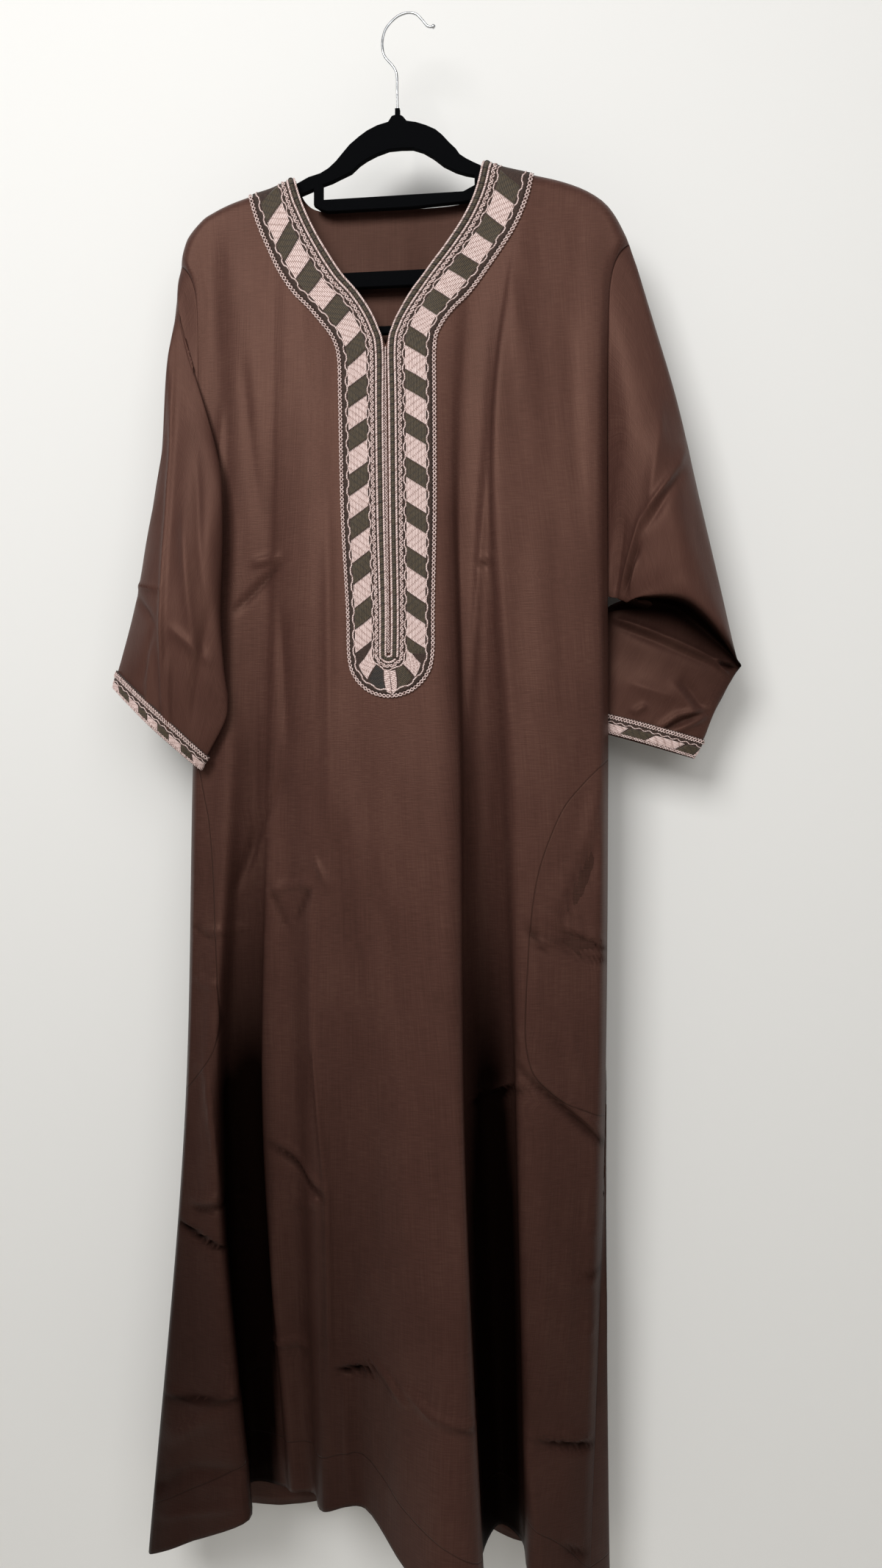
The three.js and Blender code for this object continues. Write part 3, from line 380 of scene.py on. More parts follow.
def pressed(x, depth, table):
    """Sum of straight creases: each a peaked bell across its line, fading past its ends."""
    total = np.zeros(np.broadcast_shapes(np.shape(x), np.shape(depth)))
    for x0, z0, x1, z1, width, height in table:
        dx, dz = x1 - x0, z1 - z0
        long = math.hypot(dx, dz)
        along = ((x - x0) * dx + (depth - z0) * dz) / long
        across = ((x - x0) * dz - (depth - z0) * dx) / long
        out = np.abs(along / long - 0.5) * 2
        bell = np.exp(-(np.abs(across) / (0.8 * width)) ** 1.5 - out ** 4 * 0.9)
        total += CREASE_GAIN * height * bell
    return total


def soft_drape(x, depth):
    """Faint long folds: four slanted sine waves, none higher than 1 mm."""
    return (
        0.75 * np.sin(x / 9.4 + depth / 190 + 0.6) * np.sin(depth / 260 + 1.1)
        + 0.3 * np.sin(x / 5.6 - depth / 140 + 2.0) * np.sin(depth / 190 + x / 60)
        + 0.8 * np.sin(x / 15.7 + depth / 130 + 4.2)
        + 0.12 * np.sin(x / 3.4 + depth / 260 + 1.7) * np.sin(depth / 120 - x / 45)
    )


def side_fade(x, depth):
    """0 at the side seams, 1 from the fade's width inside them."""
    inside = np.minimum(x - edge_x(False, depth), edge_x(True, depth) - x)
    return np.clip(inside / SIDE_FADE, 0, 1)


def front_relief(x, depth):
    """Creases and faint folds of the front, towards the viewer, none at the seams."""
    folds = soft_drape(x, depth) * np.clip((depth - 200) / 60, 0, 1)
    return (pressed(x, depth, FRONT_CREASES) + folds) * side_fade(x, depth)


def back_relief(x, depth):
    """The same faint folds on the back, turned round."""
    folds = soft_drape(-x + 31, depth + 77) * np.clip((depth - 215) / 60, 0, 1)
    return folds * side_fade(x, depth)


# ---------------------------------------------------------------- meshes
def grid_quads(m, n, ring=False, start=0):
    """Quads of an m by n grid of points, its second way closed if it is a ring."""
    i = np.arange(m - 1)[:, None]
    j = np.arange(n if ring else n - 1)[None]
    k = (j + 1) % n
    q = np.stack([i * n + j, (i + 1) * n + j, (i + 1) * n + k, i * n + k], -1)
    return q.reshape(-1, 4) + start


def shell_quads(m, n, ring=False):
    """Quads of a wall between an outer and an inner grid, with its rims."""
    inner = m * n
    quads = [grid_quads(m, n, ring), grid_quads(m, n, ring, inner)[:, ::-1]]
    j = np.arange(n if ring else n - 1)
    k = (j + 1) % n
    low = (m - 1) * n
    quads.append(np.stack([j, k, inner + k, inner + j], -1))
    quads.append(np.stack([low + j, inner + low + j, inner + low + k, low + k], -1))
    if not ring:
        i = np.arange(m - 1) * n
        quads.append(np.stack([i, inner + i, inner + i + n, i + n], -1))
        e = i + n - 1
        quads.append(np.stack([e, e + n, inner + e + n, inner + e], -1))
    return np.concatenate(quads)


def grid_normals(P, ring=False):
    """Unit normals of a grid of points by differences along both ways."""
    if ring:
        du = np.roll(P, -1, 1) - np.roll(P, 1, 1)
    else:
        du = np.gradient(P, axis=1)
    n = np.cross(np.gradient(P, axis=0), du)
    return n / np.maximum(np.linalg.norm(n, axis=-1, keepdims=True), 1e-9)


def outward_normals(P):
    """Unit normals of a ring grid, turned away from its middle."""
    n = grid_normals(P, True)
    return n * np.sign(np.sum(n * (P - P.mean(axis=1, keepdims=True))))


def both(outer, inner):
    """Rows of two grids in one list, the outer grid's first."""
    return np.concatenate([grid.reshape(-1, grid.shape[-1]) for grid in (outer, inner)])


def lengths(P):
    """Length run from the first of the points, along their first way."""
    steps = np.linalg.norm(np.diff(P, axis=0), axis=-1)
    return np.concatenate([0 * steps[:1], np.cumsum(steps, 0)])


def outward(points, quads):
    """Quads turned so that the closed surface's volume is positive."""
    a, b, c, d = (points[quads[:, k]] for k in range(4))
    volume = np.sum(a * np.cross(b, c)) + np.sum(a * np.cross(c, d))
    return quads if volume > 0 else quads[:, ::-1]


def make_piece(name, points, quads, finish, uv=None, marks=None, replaces=(), turn=True):
    """A mesh piece from points in millimetres and quads, riding the body."""
    points = np.asarray(points, float).reshape(-1, 3)
    if turn:
        quads = outward(points, quads)
    mesh = bpy.data.meshes.new(name)
    mesh.vertices.add(len(points))
    mesh.vertices.foreach_set("co", (points / 1000).ravel())
    mesh.loops.add(quads.size)
    mesh.loops.foreach_set("vertex_index", quads.ravel())
    mesh.polygons.add(len(quads))
    mesh.polygons.foreach_set("loop_start", np.arange(len(quads)) * 4)
    mesh.update(calc_edges=True)
    mesh.shade_smooth()
    if uv is not None:
        layer = mesh.uv_layers.new(name="weave")
        layer.data.foreach_set("uv", np.asarray(uv, float).reshape(-1, 2)[quads.ravel()].ravel())
    for key, values in (marks or {}).items():
        mark = mesh.attributes.new(key, "FLOAT", "POINT")
        mark.data.foreach_set("value", np.asarray(values, float).ravel())
    mesh.validate()
    piece = bpy.data.objects.new(name, mesh)
    bpy.context.scene.collection.objects.link(piece)
    mesh.materials.append(finish)
    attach(piece, "root")
    if replaces:
        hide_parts(*replaces)
    return piece


# ---------------------------------------------------------------- finishes
def colour(code):
    """sRGB hex to linear RGBA."""
    c = np.array([int(code[k:k + 2], 16) for k in (1, 3, 5)]) / 255
    c = np.where(c <= 0.04045, c / 12.92, ((c + 0.055) / 1.055) ** 2.4)
    return (*map(float, c), 1.0)


# The Mix node's colour sockets, which share their names with its others.
MIX_A, MIX_B, MIX_OUT = 6, 7, 2


def node(tree, kind, sockets=None, out=0, stops=(), **settings):
    """Adds a node with its settings, its sockets, each linked from an output or set to a
    constant, and its colour stops as (place, hex). Returns one of its outputs, if any."""
    n = tree.nodes.new(kind)
    for key, value in settings.items():
        setattr(n, key, value)
    for key, value in (sockets or {}).items():
        if isinstance(value, bpy.types.NodeSocket):
            tree.links.new(value, n.inputs[key])
        else:
            n.inputs[key].default_value = value
    flags = n.color_ramp.elements if stops else []
    while len(flags) < len(stops):
        flags.new(0.5)
    for flag, (place, code) in zip(flags, stops):
        flag.position, flag.color = place, colour(code)
    return n.outputs[out] if n.outputs else None


def start_finish(name):
    mat = bpy.data.materials.new(name)
    mat.use_nodes = True
    mat.node_tree.nodes.clear()
    return mat, mat.node_tree


def brown_satin():
    """Woven polyester satin: brown warp over a dark weft. Fine upright slubs give the eye
    the grain of the cloth, and the thread's own gloss gives a broad soft sheen."""
    mat, t = start_finish("brown_satin")
    uv = node(t, "ShaderNodeUVMap", uv_map="weave")
    # Slubs 1.4 mm apart and 60 mm long, drawn coarser than the real threads to show.
    at = node(t, "ShaderNodeMapping", {"Vector": uv, "Scale": (700, 17, 1)})
    slub = node(t, "ShaderNodeTexNoise", {"Vector": at, "Scale": 1.0, "Detail": 2.0,
                                          "Roughness": 0.6})
    # Weft picks, 1.1 mm, that break the slubs up.
    at = node(t, "ShaderNodeMapping", {"Vector": uv, "Scale": (60, 900, 1)})
    pick = node(t, "ShaderNodeTexNoise", {"Vector": at, "Scale": 1.0, "Detail": 1.0,
                                          "Roughness": 0.5})
    # Shade of the dye lot and of wear, 120 mm across.
    wear = node(t, "ShaderNodeTexNoise", {"Vector": uv, "Scale": 9.0, "Detail": 3.0,
                                          "Roughness": 0.55})
    threads = node(t, "ShaderNodeMath", {0: slub, 1: pick}, operation="ADD")
    shades = node(t, "ShaderNodeMath", {0: threads, 1: wear}, operation="ADD")
    mean = node(t, "ShaderNodeMath", {0: shades, 1: 3.0}, operation="DIVIDE")
    open_weave = node(t, "ShaderNodeValToRGB", {"Fac": mean}, stops=[
        (0.36, "#3f2923"), (0.5, "#482f29"), (0.64, "#513830")])
    # The painted-shade mark paints shade on cloth that holds little light in the photo, and dulls
    # its gloss there.
    painted_shade = node(t, "ShaderNodeAttribute", out="Fac", attribute_name="painted_shade")
    weave = node(t, "ShaderNodeMix", {"Factor": painted_shade, MIX_A: open_weave,
                                      MIX_B: colour("#070302")}, MIX_OUT, data_type="RGBA")
    gloss = node(t, "ShaderNodeMapRange", {"Value": painted_shade, "To Min": 0.5, "To Max": 0.02})
    # Stitch lines of the hem and the pockets: a dark groove 1.6 mm wide, broken by the slubs.
    near = []
    for name in ("hem_stitch", "pocket_stitch"):
        far = node(t, "ShaderNodeAttribute", out="Fac", attribute_name=name)
        away = node(t, "ShaderNodeMath", {0: far}, operation="ABSOLUTE")
        near.append(node(t, "ShaderNodeMapRange", {"Value": away, "From Min": 0.3,
                                                   "From Max": 1.1, "To Min": 1.0, "To Max": 0.0}))
    seam = node(t, "ShaderNodeMath", {0: near[0], 1: near[1]}, operation="MAXIMUM")
    broken = node(t, "ShaderNodeMath", {0: seam, 1: pick}, operation="MULTIPLY")
    base = node(t, "ShaderNodeMix", {"Factor": broken, MIX_A: weave, MIX_B: colour("#120a08")},
                MIX_OUT, data_type="RGBA")
    sunk = node(t, "ShaderNodeMath", {0: seam, 1: -3.0}, operation="MULTIPLY")
    height = node(t, "ShaderNodeMath", {0: threads, 1: sunk}, operation="ADD")
    grain = node(t, "ShaderNodeBump", {"Height": height, "Strength": 0.35, "Distance": 0.0004})
    surface = node(t, "ShaderNodeBsdfPrincipled", {
        "Base Color": base, "Normal": grain, "Roughness": 0.46, "Specular IOR Level": gloss,
        "Specular Tint": colour("#c09480")})
    node(t, "ShaderNodeOutputMaterial", {"Surface": surface})
    return mat


def band_twill():
    """Dark brown cotton twill under the embroidery: matt, with a close diagonal rib that
    keeps it darker than the satin."""
    mat, t = start_finish("band_twill")
    at = node(t, "ShaderNodeTexCoord", out="Object")
    rib = node(t, "ShaderNodeTexWave", {"Vector": at, "Scale": 260.0, "Distortion": 1.5,
                                        "Detail": 1.0}, "Fac", wave_type="BANDS",
               bands_direction="DIAGONAL")
    fleck = node(t, "ShaderNodeTexNoise", {"Vector": at, "Scale": 900.0, "Detail": 2.0})
    base = node(t, "ShaderNodeValToRGB", {"Fac": fleck}, stops=[
        (0.3, "#241914"), (0.55, "#3a2a23"), (0.75, "#4d3c32")])
    bump = node(t, "ShaderNodeBump", {"Height": rib, "Strength": 0.3, "Distance": 0.0003})
    surface = node(t, "ShaderNodeBsdfPrincipled", {
        "Base Color": base, "Normal": bump, "Roughness": 0.8, "Sheen Weight": 0.1,
        "Specular IOR Level": 0.3})
    node(t, "ShaderNodeOutputMaterial", {"Surface": surface})
    return mat


def floss(name, slit, dark, mid, light, rough):
    """Rayon embroidery floss: bright threads side by side with a shaded slit between them,
    and short dark breaks where one stitch ends and the next begins."""
    mat, t = start_finish(name)
    thread = node(t, "ShaderNodeAttribute", out="Fac", attribute_name="thread")
    along = node(t, "ShaderNodeAttribute", out="Fac", attribute_name="along")
    turned = node(t, "ShaderNodeMath", {0: thread, 1: math.pi}, operation="MULTIPLY")
    wave = node(t, "ShaderNodeMath", {0: turned}, operation="SINE")
    side = node(t, "ShaderNodeMath", {0: wave}, operation="ABSOLUTE")
    full = node(t, "ShaderNodeMapRange", {"Value": side, "From Min": 0.05, "From Max": 0.6})
    # Each thread's stitches end 0.29 of a stitch further on than its neighbour's.
    number = node(t, "ShaderNodeMath", {0: thread}, operation="FLOOR")
    later = node(t, "ShaderNodeMath", {0: number, 1: 0.29}, operation="MULTIPLY")
    place = node(t, "ShaderNodeMath", {0: later, 1: along}, operation="ADD")
    part = node(t, "ShaderNodeMath", {0: place}, operation="FRACT")
    middle = node(t, "ShaderNodeMath", {0: part, 1: 0.5}, operation="SUBTRACT")
    away = node(t, "ShaderNodeMath", {0: middle}, operation="ABSOLUTE")
    end = node(t, "ShaderNodeMapRange", {"Value": away, "From Min": 0.36, "From Max": 0.47,
                                         "To Min": 1.0, "To Max": 0.5})
    shade = node(t, "ShaderNodeMath", {0: full, 1: end}, operation="MULTIPLY")
    # Uneven dye and light along the threads, 3 mm.
    at = node(t, "ShaderNodeTexCoord", out="Object")
    fleck = node(t, "ShaderNodeTexNoise", {"Vector": at, "Scale": 330.0, "Detail": 2.0})
    lift = node(t, "ShaderNodeMapRange", {"Value": fleck, "From Min": 0.3, "From Max": 0.7,
                                          "To Min": 0.72, "To Max": 1.0})
    tone = node(t, "ShaderNodeMath", {0: shade, 1: lift}, operation="MULTIPLY")
    base = node(t, "ShaderNodeValToRGB", {"Fac": tone}, stops=[
        (0.0, slit), (0.35, dark), (0.7, mid), (0.95, light)])
    bump = node(t, "ShaderNodeBump", {"Height": shade, "Strength": 0.5, "Distance": 0.0004})
    surface = node(t, "ShaderNodeBsdfPrincipled", {
        "Base Color": base, "Normal": bump, "Roughness": rough, "Sheen Weight": 0.15,
        "Specular IOR Level": 0.45})
    node(t, "ShaderNodeOutputMaterial", {"Surface": surface})
    return mat


def black_flock():
    """Black nylon flock on the hanger: short fibres that swallow light and catch it only
    at the edges."""
    mat, t = start_finish("black_flock")
    at = node(t, "ShaderNodeTexCoord", out="Object")
    fibre = node(t, "ShaderNodeTexNoise", {"Vector": at, "Scale": 2500.0, "Detail": 3.0,
                                           "Roughness": 0.7})
    base = node(t, "ShaderNodeValToRGB", {"Fac": fibre}, stops=[
        (0.35, "#010102"), (0.6, "#040507"), (0.8, "#0b0c0f")])
    bump = node(t, "ShaderNodeBump", {"Height": fibre, "Strength": 0.5, "Distance": 0.0003})
    surface = node(t, "ShaderNodeBsdfPrincipled", {
        "Base Color": base, "Normal": bump, "Roughness": 0.95, "Sheen Weight": 0.04,
        "Sheen Roughness": 0.5, "Sheen Tint": colour("#6a6d78"), "Specular IOR Level": 0.08})
    node(t, "ShaderNodeOutputMaterial", {"Surface": surface})
    return mat


def bright_chrome():
    """Chrome plate on steel wire, with the faint haze of handling."""
    mat, t = start_finish("bright_chrome")
    at = node(t, "ShaderNodeTexCoord", out="Object")
    haze = node(t, "ShaderNodeTexNoise", {"Vector": at, "Scale": 180.0, "Detail": 3.0})
    base = node(t, "ShaderNodeValToRGB", {"Fac": haze}, stops=[
        (0.3, "#b7b9bb"), (0.7, "#d6d8da")])
    dull = node(t, "ShaderNodeMapRange", {"Value": haze, "To Min": 0.12, "To Max": 0.24})
    surface = node(t, "ShaderNodeBsdfPrincipled", {
        "Base Color": base, "Roughness": dull, "Metallic": 1.0})
    node(t, "ShaderNodeOutputMaterial", {"Surface": surface})
    return mat


SATIN = brown_satin()
TWILL = band_twill()
PINK = floss("pink_floss", "#38261f", "#a3877f", "#d8bdb6", "#eed7d1", 0.5)
OLIVE = floss("olive_floss", "#1c140a", "#2e2415", "#3b2f1d", "#4c3e28", 0.6)
DARK = floss("dark_floss", "#0c0806", "#18120e", "#241b16", "#32281f", 0.6)
FLOCK = black_flock()
CHROME = bright_chrome()


# ---------------------------------------------------------------- front and back
CLOSE_STEPS = np.array([0, .012, .03, .06, .1, .15, .2, .26, .33, .4, .48, .56, .64, .72,
                        .8, .9, 1])


def column_list(p, per_span):
    """Columns of a panel: even within a span, close together at a turned edge."""
    out = [np.zeros(1)]
    for k in range(1, len(p["hem"])):
        mode = p["close"][k]
        e = np.linspace(0, 1, per_span + 1)
        if mode:
            e = CLOSE_STEPS if mode == "start" else 1 - CLOSE_STEPS[::-1]
        out.append(k - 1 + e[1:])
    return np.concatenate(out)


def crease_shade(x, depth, table):
    """Share of painted shade along the narrow creases that are pressed in."""
    inward = [row for row in table if row[5] < 0 and row[4] <= 5]
    return np.clip(-pressed(x, depth, inward) / CREASE_DARK, 0, 0.4)


def front_painted_shade(x, y, depth):
    """Share of painted shade in the front's folds, set against the photo: how far a fold lies
    behind the foremost one, as a share of that one's height, from none at the waist to all
    of it below the knee. The far right panel and the floor of the left fold get less, and
    all low cloth gets a little, darker towards the bottom."""
    front_most = (-y).max(axis=1, keepdims=True)
    share = np.clip((front_most + y) / np.maximum(front_most, 1), 0, 1.1)
    grow = np.clip((depth - 620) / 640, 0, 1)
    low = 0.31 * np.clip((depth - 900) / 480, 0, 1)
    far_right = 1 - 0.7 * np.clip((x - 108) / 30, 0, 1)
    floor = 1 - 0.72 * np.clip((x + 152) / 18, 0, 1) * np.clip((-76 - x) / 12, 0, 1)
    return np.clip((0.4 * share + 0.6 * share ** 3) * grow * far_right * floor + low, 0, 1)


def stitch_distance(x, depth, pocket, way):
    """Distance from a pocket's stitch line, positive towards the middle of the front: the
    step to the nearest of 240 points of the line, measured across the line there."""
    z = np.linspace(pocket[0][0], pocket[0][-1], 240)
    line = np.stack([cubic(pocket[0], pocket[1], z), z], -1)
    along = np.gradient(line, axis=0)
    along /= np.linalg.norm(along, axis=1, keepdims=True)
    step = np.stack([x.ravel(), depth.ravel()], -1)[:, None] - line[None]
    k = np.argmin((step ** 2).sum(-1), axis=1)
    step = step[np.arange(len(k)), k]
    across = step[:, 0] * along[k, 1] - step[:, 1] * along[k, 0]
    return (way * across).reshape(x.shape)


ROLL_ROWS = np.array([0, .25, .8, 1.8, 3.2, 5, 7, 9.5, 12.5, 16, 20, 26, 33, 42, 55])


def panel_piece(name, p, relief, per_span, long_rows):
    """A panel as a wall: its smooth face, the relief added along y, and a second face one
    cloth wall behind, pinned to the seams' planes."""
    u = column_list(p, per_span)
    hem = cubic(lines_of(p), p["hem"], u)
    top = top_depth(p, u)
    rows = [top + r for r in ROLL_ROWS]
    start = rows[-1]
    rows += [start + (hem - start) * (k + 1) / long_rows for k in range(long_rows)]
    depth = np.stack(rows)
    x, y = panel_point(p, u, depth)
    sign = p["sign"]
    y = y + sign * relief(x, depth)
    outer = np.stack([x, y, -depth], -1)
    normal = grid_normals(outer)
    normal *= np.sign(np.sum(normal[..., 1]) * sign)
    inner = outer - CLOTH * normal
    last = len(u) - 1
    for j in (0, last):
        hole = (depth[:, j] < ARMHOLE_END - 2) & (depth[:, j] > ARMHOLE_TOP + 2)
        inner[hole, j, 0] = outer[hole, j, 0]
        inner[~hole, j, 1] = outer[~hole, j, 1]
    seam = (u <= p["neck"][0]) | (u >= p["neck"][2])
    inner[0, seam, 1] = outer[0, seam, 1]
    m, n = depth.shape
    grain = lengths(outer.swapaxes(0, 1)).T
    grain = grain - grain[:, [n // 2]]
    uv = np.stack([grain / 1000, depth / 1000], -1)
    hem_stitch = np.tile((hem[None] - depth - STITCH_UP).ravel(), 2)
    if sign < 0:
        pocket_stitch = np.where(x < 0, stitch_distance(x, depth, POCKET_LEFT, 1),
                                 stitch_distance(x, depth, POCKET_RIGHT, -1))
        # Painted shade of the front's folds, of its low cloth and of its pressed-in creases.
        painted_shade = front_painted_shade(x, y, depth) + crease_shade(x, depth, FRONT_CREASES)
    else:
        pocket_stitch = np.full(depth.shape, NO_STITCH)
        # Painted shade over the whole back, deeper from the chest down.
        painted_shade = 0.35 + 0.15 * np.clip((depth - CHEST) / 500, 0, 1)
    marks = {"hem_stitch": hem_stitch, "pocket_stitch": np.tile(pocket_stitch.ravel(), 2),
             "painted_shade": np.tile(painted_shade.ravel(), 2)}
    return make_piece(name, both(outer, inner), shell_quads(m, n), SATIN,
                      both(uv, uv), marks, (name,))


front = panel_piece("front_panel", FRONT_PANEL, front_relief, 6, 292)
front.name = "thobe_front"
back = panel_piece("back_panel", BACK_PANEL, back_relief, 11, 150)
back.name = "thobe_back"


# ---------------------------------------------------------------- sleeves
def loop_point(points, t):
    """Closed curve through four points: on each quarter the cubic whose end slopes are
    half the step between the neighbours. points is (4, ..., 3), t from 0 to 1."""
    s = (t % 1) * 4
    i = np.floor(s).astype(int) % 4
    f = (s - np.floor(s))[:, None]
    p = lambda k: points[(i + k) % 4]
    m0, m1 = (p(1) - p(-1)) / 2, (p(2) - p(0)) / 2
    return ((2 * f ** 3 - 3 * f ** 2 + 1) * p(0) + (f ** 3 - 2 * f ** 2 + f) * m0
            + (3 * f ** 2 - 2 * f ** 3) * p(1) + (f ** 3 - f ** 2) * m1)


def armhole_point(right, t):
    """Armhole loop: depth by the cosine of the turn, y by its sine, x on the side."""
    angle = 2 * np.pi * t
    depth = ARMHOLE_TOP + (ARMHOLE_END - ARMHOLE_TOP) * (1 - np.cos(angle)) / 2
    x = edge_x(right, depth) + (1 if right else -1) * ARMHOLE_GAP
    name = "right" if right else "left"
    y = np.where(np.sin(angle) > 0, -armhole_half(name, -1, depth), armhole_half(name, 1, depth))
    return np.stack([x, y * roll((depth - ARMHOLE_TOP) / SHOULDER_ROLL), -depth], -1)


def sleeve_point(rings, right, k, t):
    """Sleeve face: ring curves at t carried along the rings by k, both flat arrays. Close
    to the shoulder the first two rings keep part of the armhole's own depth."""
    stack = [armhole_point(right, t)]
    stack += [loop_point(np.array(r, float), t) for r in rings]
    stack = np.array(stack)
    near_top = np.clip(1 - np.minimum(t, 1 - t) / 0.16, 0, 1)
    for ring, share in ((1, 0.8), (2, 0.4)):
        stack[ring, :, 1] += (stack[0, :, 1] - stack[ring, :, 1]) * share * near_top
    line = np.arange(len(stack), dtype=float)
    return np.stack([cubic(line, stack[:, :, a], k[None])[0] for a in range(3)], -1)


def sleeve_painted_shade(k, right):
    """Painted shadow in the tuck of the bent right arm: full at its ring, fading down the forearm.
    """
    if not right:
        return 0 * k
    levels = [0, 4.7, 5.0, 5.4, 6.3, 7.4, 9.0, 11.0]
    return np.interp(k, levels, [0, 0, 0.85, 1.0, 0.95, 0.35, 0.15, 0.05])


def sleeve_piece(name, rings, right, creases, around, per_ring):
    """A sleeve as a closed wall, with creases raised along its own normals where it
    faces the viewer."""
    k = np.linspace(0, len(rings), len(rings) * per_ring + 1)
    t = np.arange(around) / around
    kk, tt = np.meshgrid(k, t, indexing="ij")
    P = sleeve_point(rings, right, kk.ravel(), tt.ravel()).reshape(kk.shape + (3,))
    N = outward_normals(P)
    facing = np.clip(-N[..., 1], 0, 1)
    ends = np.clip(kk / 0.6, 0, 1) * np.clip((len(rings) - kk) / 1.2, 0, 1)
    lift = pressed(P[..., 0], -P[..., 2], creases) * facing
    lift += 0.5 * np.sin(tt * 38 + kk * 1.7) * np.sin(kk * 2.1 + 3 * tt)
    outer = P + N * (lift * ends)[..., None]
    inner = outer - CLOTH * outward_normals(outer)
    inner[0, :, 0] = outer[0, :, 0]
    m, n = kk.shape
    girth = np.linalg.norm(np.roll(outer, -1, 1) - outer, axis=-1).sum(1).max()
    uv = np.stack([tt * girth / 1000, lengths(outer) / 1000], -1)
    far = np.full(2 * m * n, NO_STITCH)
    # Painted shade: the tuck of the bent right arm, and the pressed-in creases where the sleeve
    # faces the viewer.
    painted_shade = np.clip(sleeve_painted_shade(kk, right)
                     + crease_shade(P[..., 0], -P[..., 2], creases) * facing, 0, 1)
    marks = {"hem_stitch": far, "pocket_stitch": far,
             "painted_shade": np.tile(painted_shade.ravel(), 2)}
    piece = make_piece(name, both(outer, inner), shell_quads(m, n, True), SATIN,
                       both(uv, uv), marks, (name,))
    piece.name = name.replace("sleeve", "thobe_sleeve")
    return piece


left_sleeve = sleeve_piece("sleeve_left", SLEEVE_LEFT, False, SLEEVE_LEFT_CREASES, 140, 18)
right_sleeve = sleeve_piece("sleeve_right", SLEEVE_RIGHT, True, SLEEVE_RIGHT_CREASES, 140, 18)


# ---------------------------------------------------------------- the front as a height field
FIELD_STEP = 0.5        # step of the field's depth; its x goes in steps of 1
FIELD_X = np.arange(-200.0, 201.0, 1.0)
FIELD_Z = np.arange(158.0, 765.0, FIELD_STEP)


def front_field():
    """y of the front's outer face on a regular grid of x and depth."""
    u = np.linspace(0, len(FRONT) - 1, 800)
    depth = np.repeat(FIELD_Z[:, None], len(u), 1)
    x, y = panel_point(FRONT_PANEL, u, depth)
    rows = [np.interp(FIELD_X, xr, yr) for xr, yr in zip(x, y)]
    grid_x, grid_z = np.meshgrid(FIELD_X, FIELD_Z)
    return np.array(rows) - front_relief(grid_x, grid_z)


FIELD = front_field()


def on_front(x, depth):
    """Point of the front's face over x and depth, between the field's four neighbours."""
    i = np.clip((depth - FIELD_Z[0]) / FIELD_STEP, 0, len(FIELD_Z) - 1.001)
    j = np.clip(x - FIELD_X[0], 0, len(FIELD_X) - 1.001)
    a, b = i.astype(int), j.astype(int)
    f, g = i - a, j - b
    y = ((1 - f) * ((1 - g) * FIELD[a, b] + g * FIELD[a, b + 1])
         + f * ((1 - g) * FIELD[a + 1, b] + g * FIELD[a + 1, b + 1]))
    return np.stack([x, y, -depth], -1)


def band_stations():
    """Left side, round end and right side: inner x, depth and outer x, depth."""
    a = np.pi * np.arange(7) / 6
    turn = np.stack([
        -6.5 - SLIT_HALF * np.cos(a), PLACKET_END + SLIT_HALF * np.sin(a),
        -5 - PLACKET_RADIUS * np.cos(a), PLACKET_END + PLACKET_RADIUS * np.sin(a)], -1)
    return np.concatenate([np.array(BAND_LEFT), turn, np.array(BAND_RIGHT)[::-1]])


STATIONS = band_stations()
STATION_LINE = np.arange(len(STATIONS), dtype=float)
ROUND_START, ROUND_END = 12.0, 18.0


def neck_place(s, w):
    """Band surface: station s along the band, w millimetres out from its inner edge."""
    c = [cubic(STATION_LINE, STATIONS[:, k], s) for k in range(4)]
    f = w / BAND_WIDTH
    return on_front(c[0] + (c[2] - c[0]) * f, c[1] + (c[3] - c[1]) * f)


def cuff_place(rings, right):
    """Surface of a cuff: s turns round the sleeve from 0 to 1, w counts millimetres from
    the cuff's upper line down to the sleeve's edge."""
    def place(s, w):
        k = len(rings) - 1 + w / CUFF_WIDE
        return sleeve_point(rings, right, np.minimum(k, len(rings) - 1e-6), s % 1)
    return place


def lay(place, s, w, height, unit):
    """Points at a height over a surface, and its unit normals, from small differences
    along both ways. unit is (step of s, sign of the outer side)."""
    s, w, height = np.broadcast_arrays(np.asarray(s, float), np.asarray(w, float),
                                       np.asarray(height, float))
    shape = s.shape
    s, w = s.ravel(), w.ravel()
    e, sign = unit
    a = place(s + e, w) - place(s - e, w)
    b = place(s, w + 0.3) - place(s, w - 0.3)
    n = np.cross(a, b) * sign
    n /= np.maximum(np.linalg.norm(n, axis=-1, keepdims=True), 1e-9)
    P = place(s, w) + n * height.ravel()[:, None]
    return P.reshape(shape + (3,)), n.reshape(shape + (3,))


def even_places(place, w, step, s0, s1, closed=False):
    """Places s along a line at width w, the same distance apart, and their lengths."""
    s = np.linspace(s0, s1, 4000)
    P = place(s, 0 * s + w)
    run = lengths(P)
    count = max(int(round(run[-1] / step)), 2)
    length = np.linspace(0, run[-1], count + 1)
    return np.interp(length, run, s), length


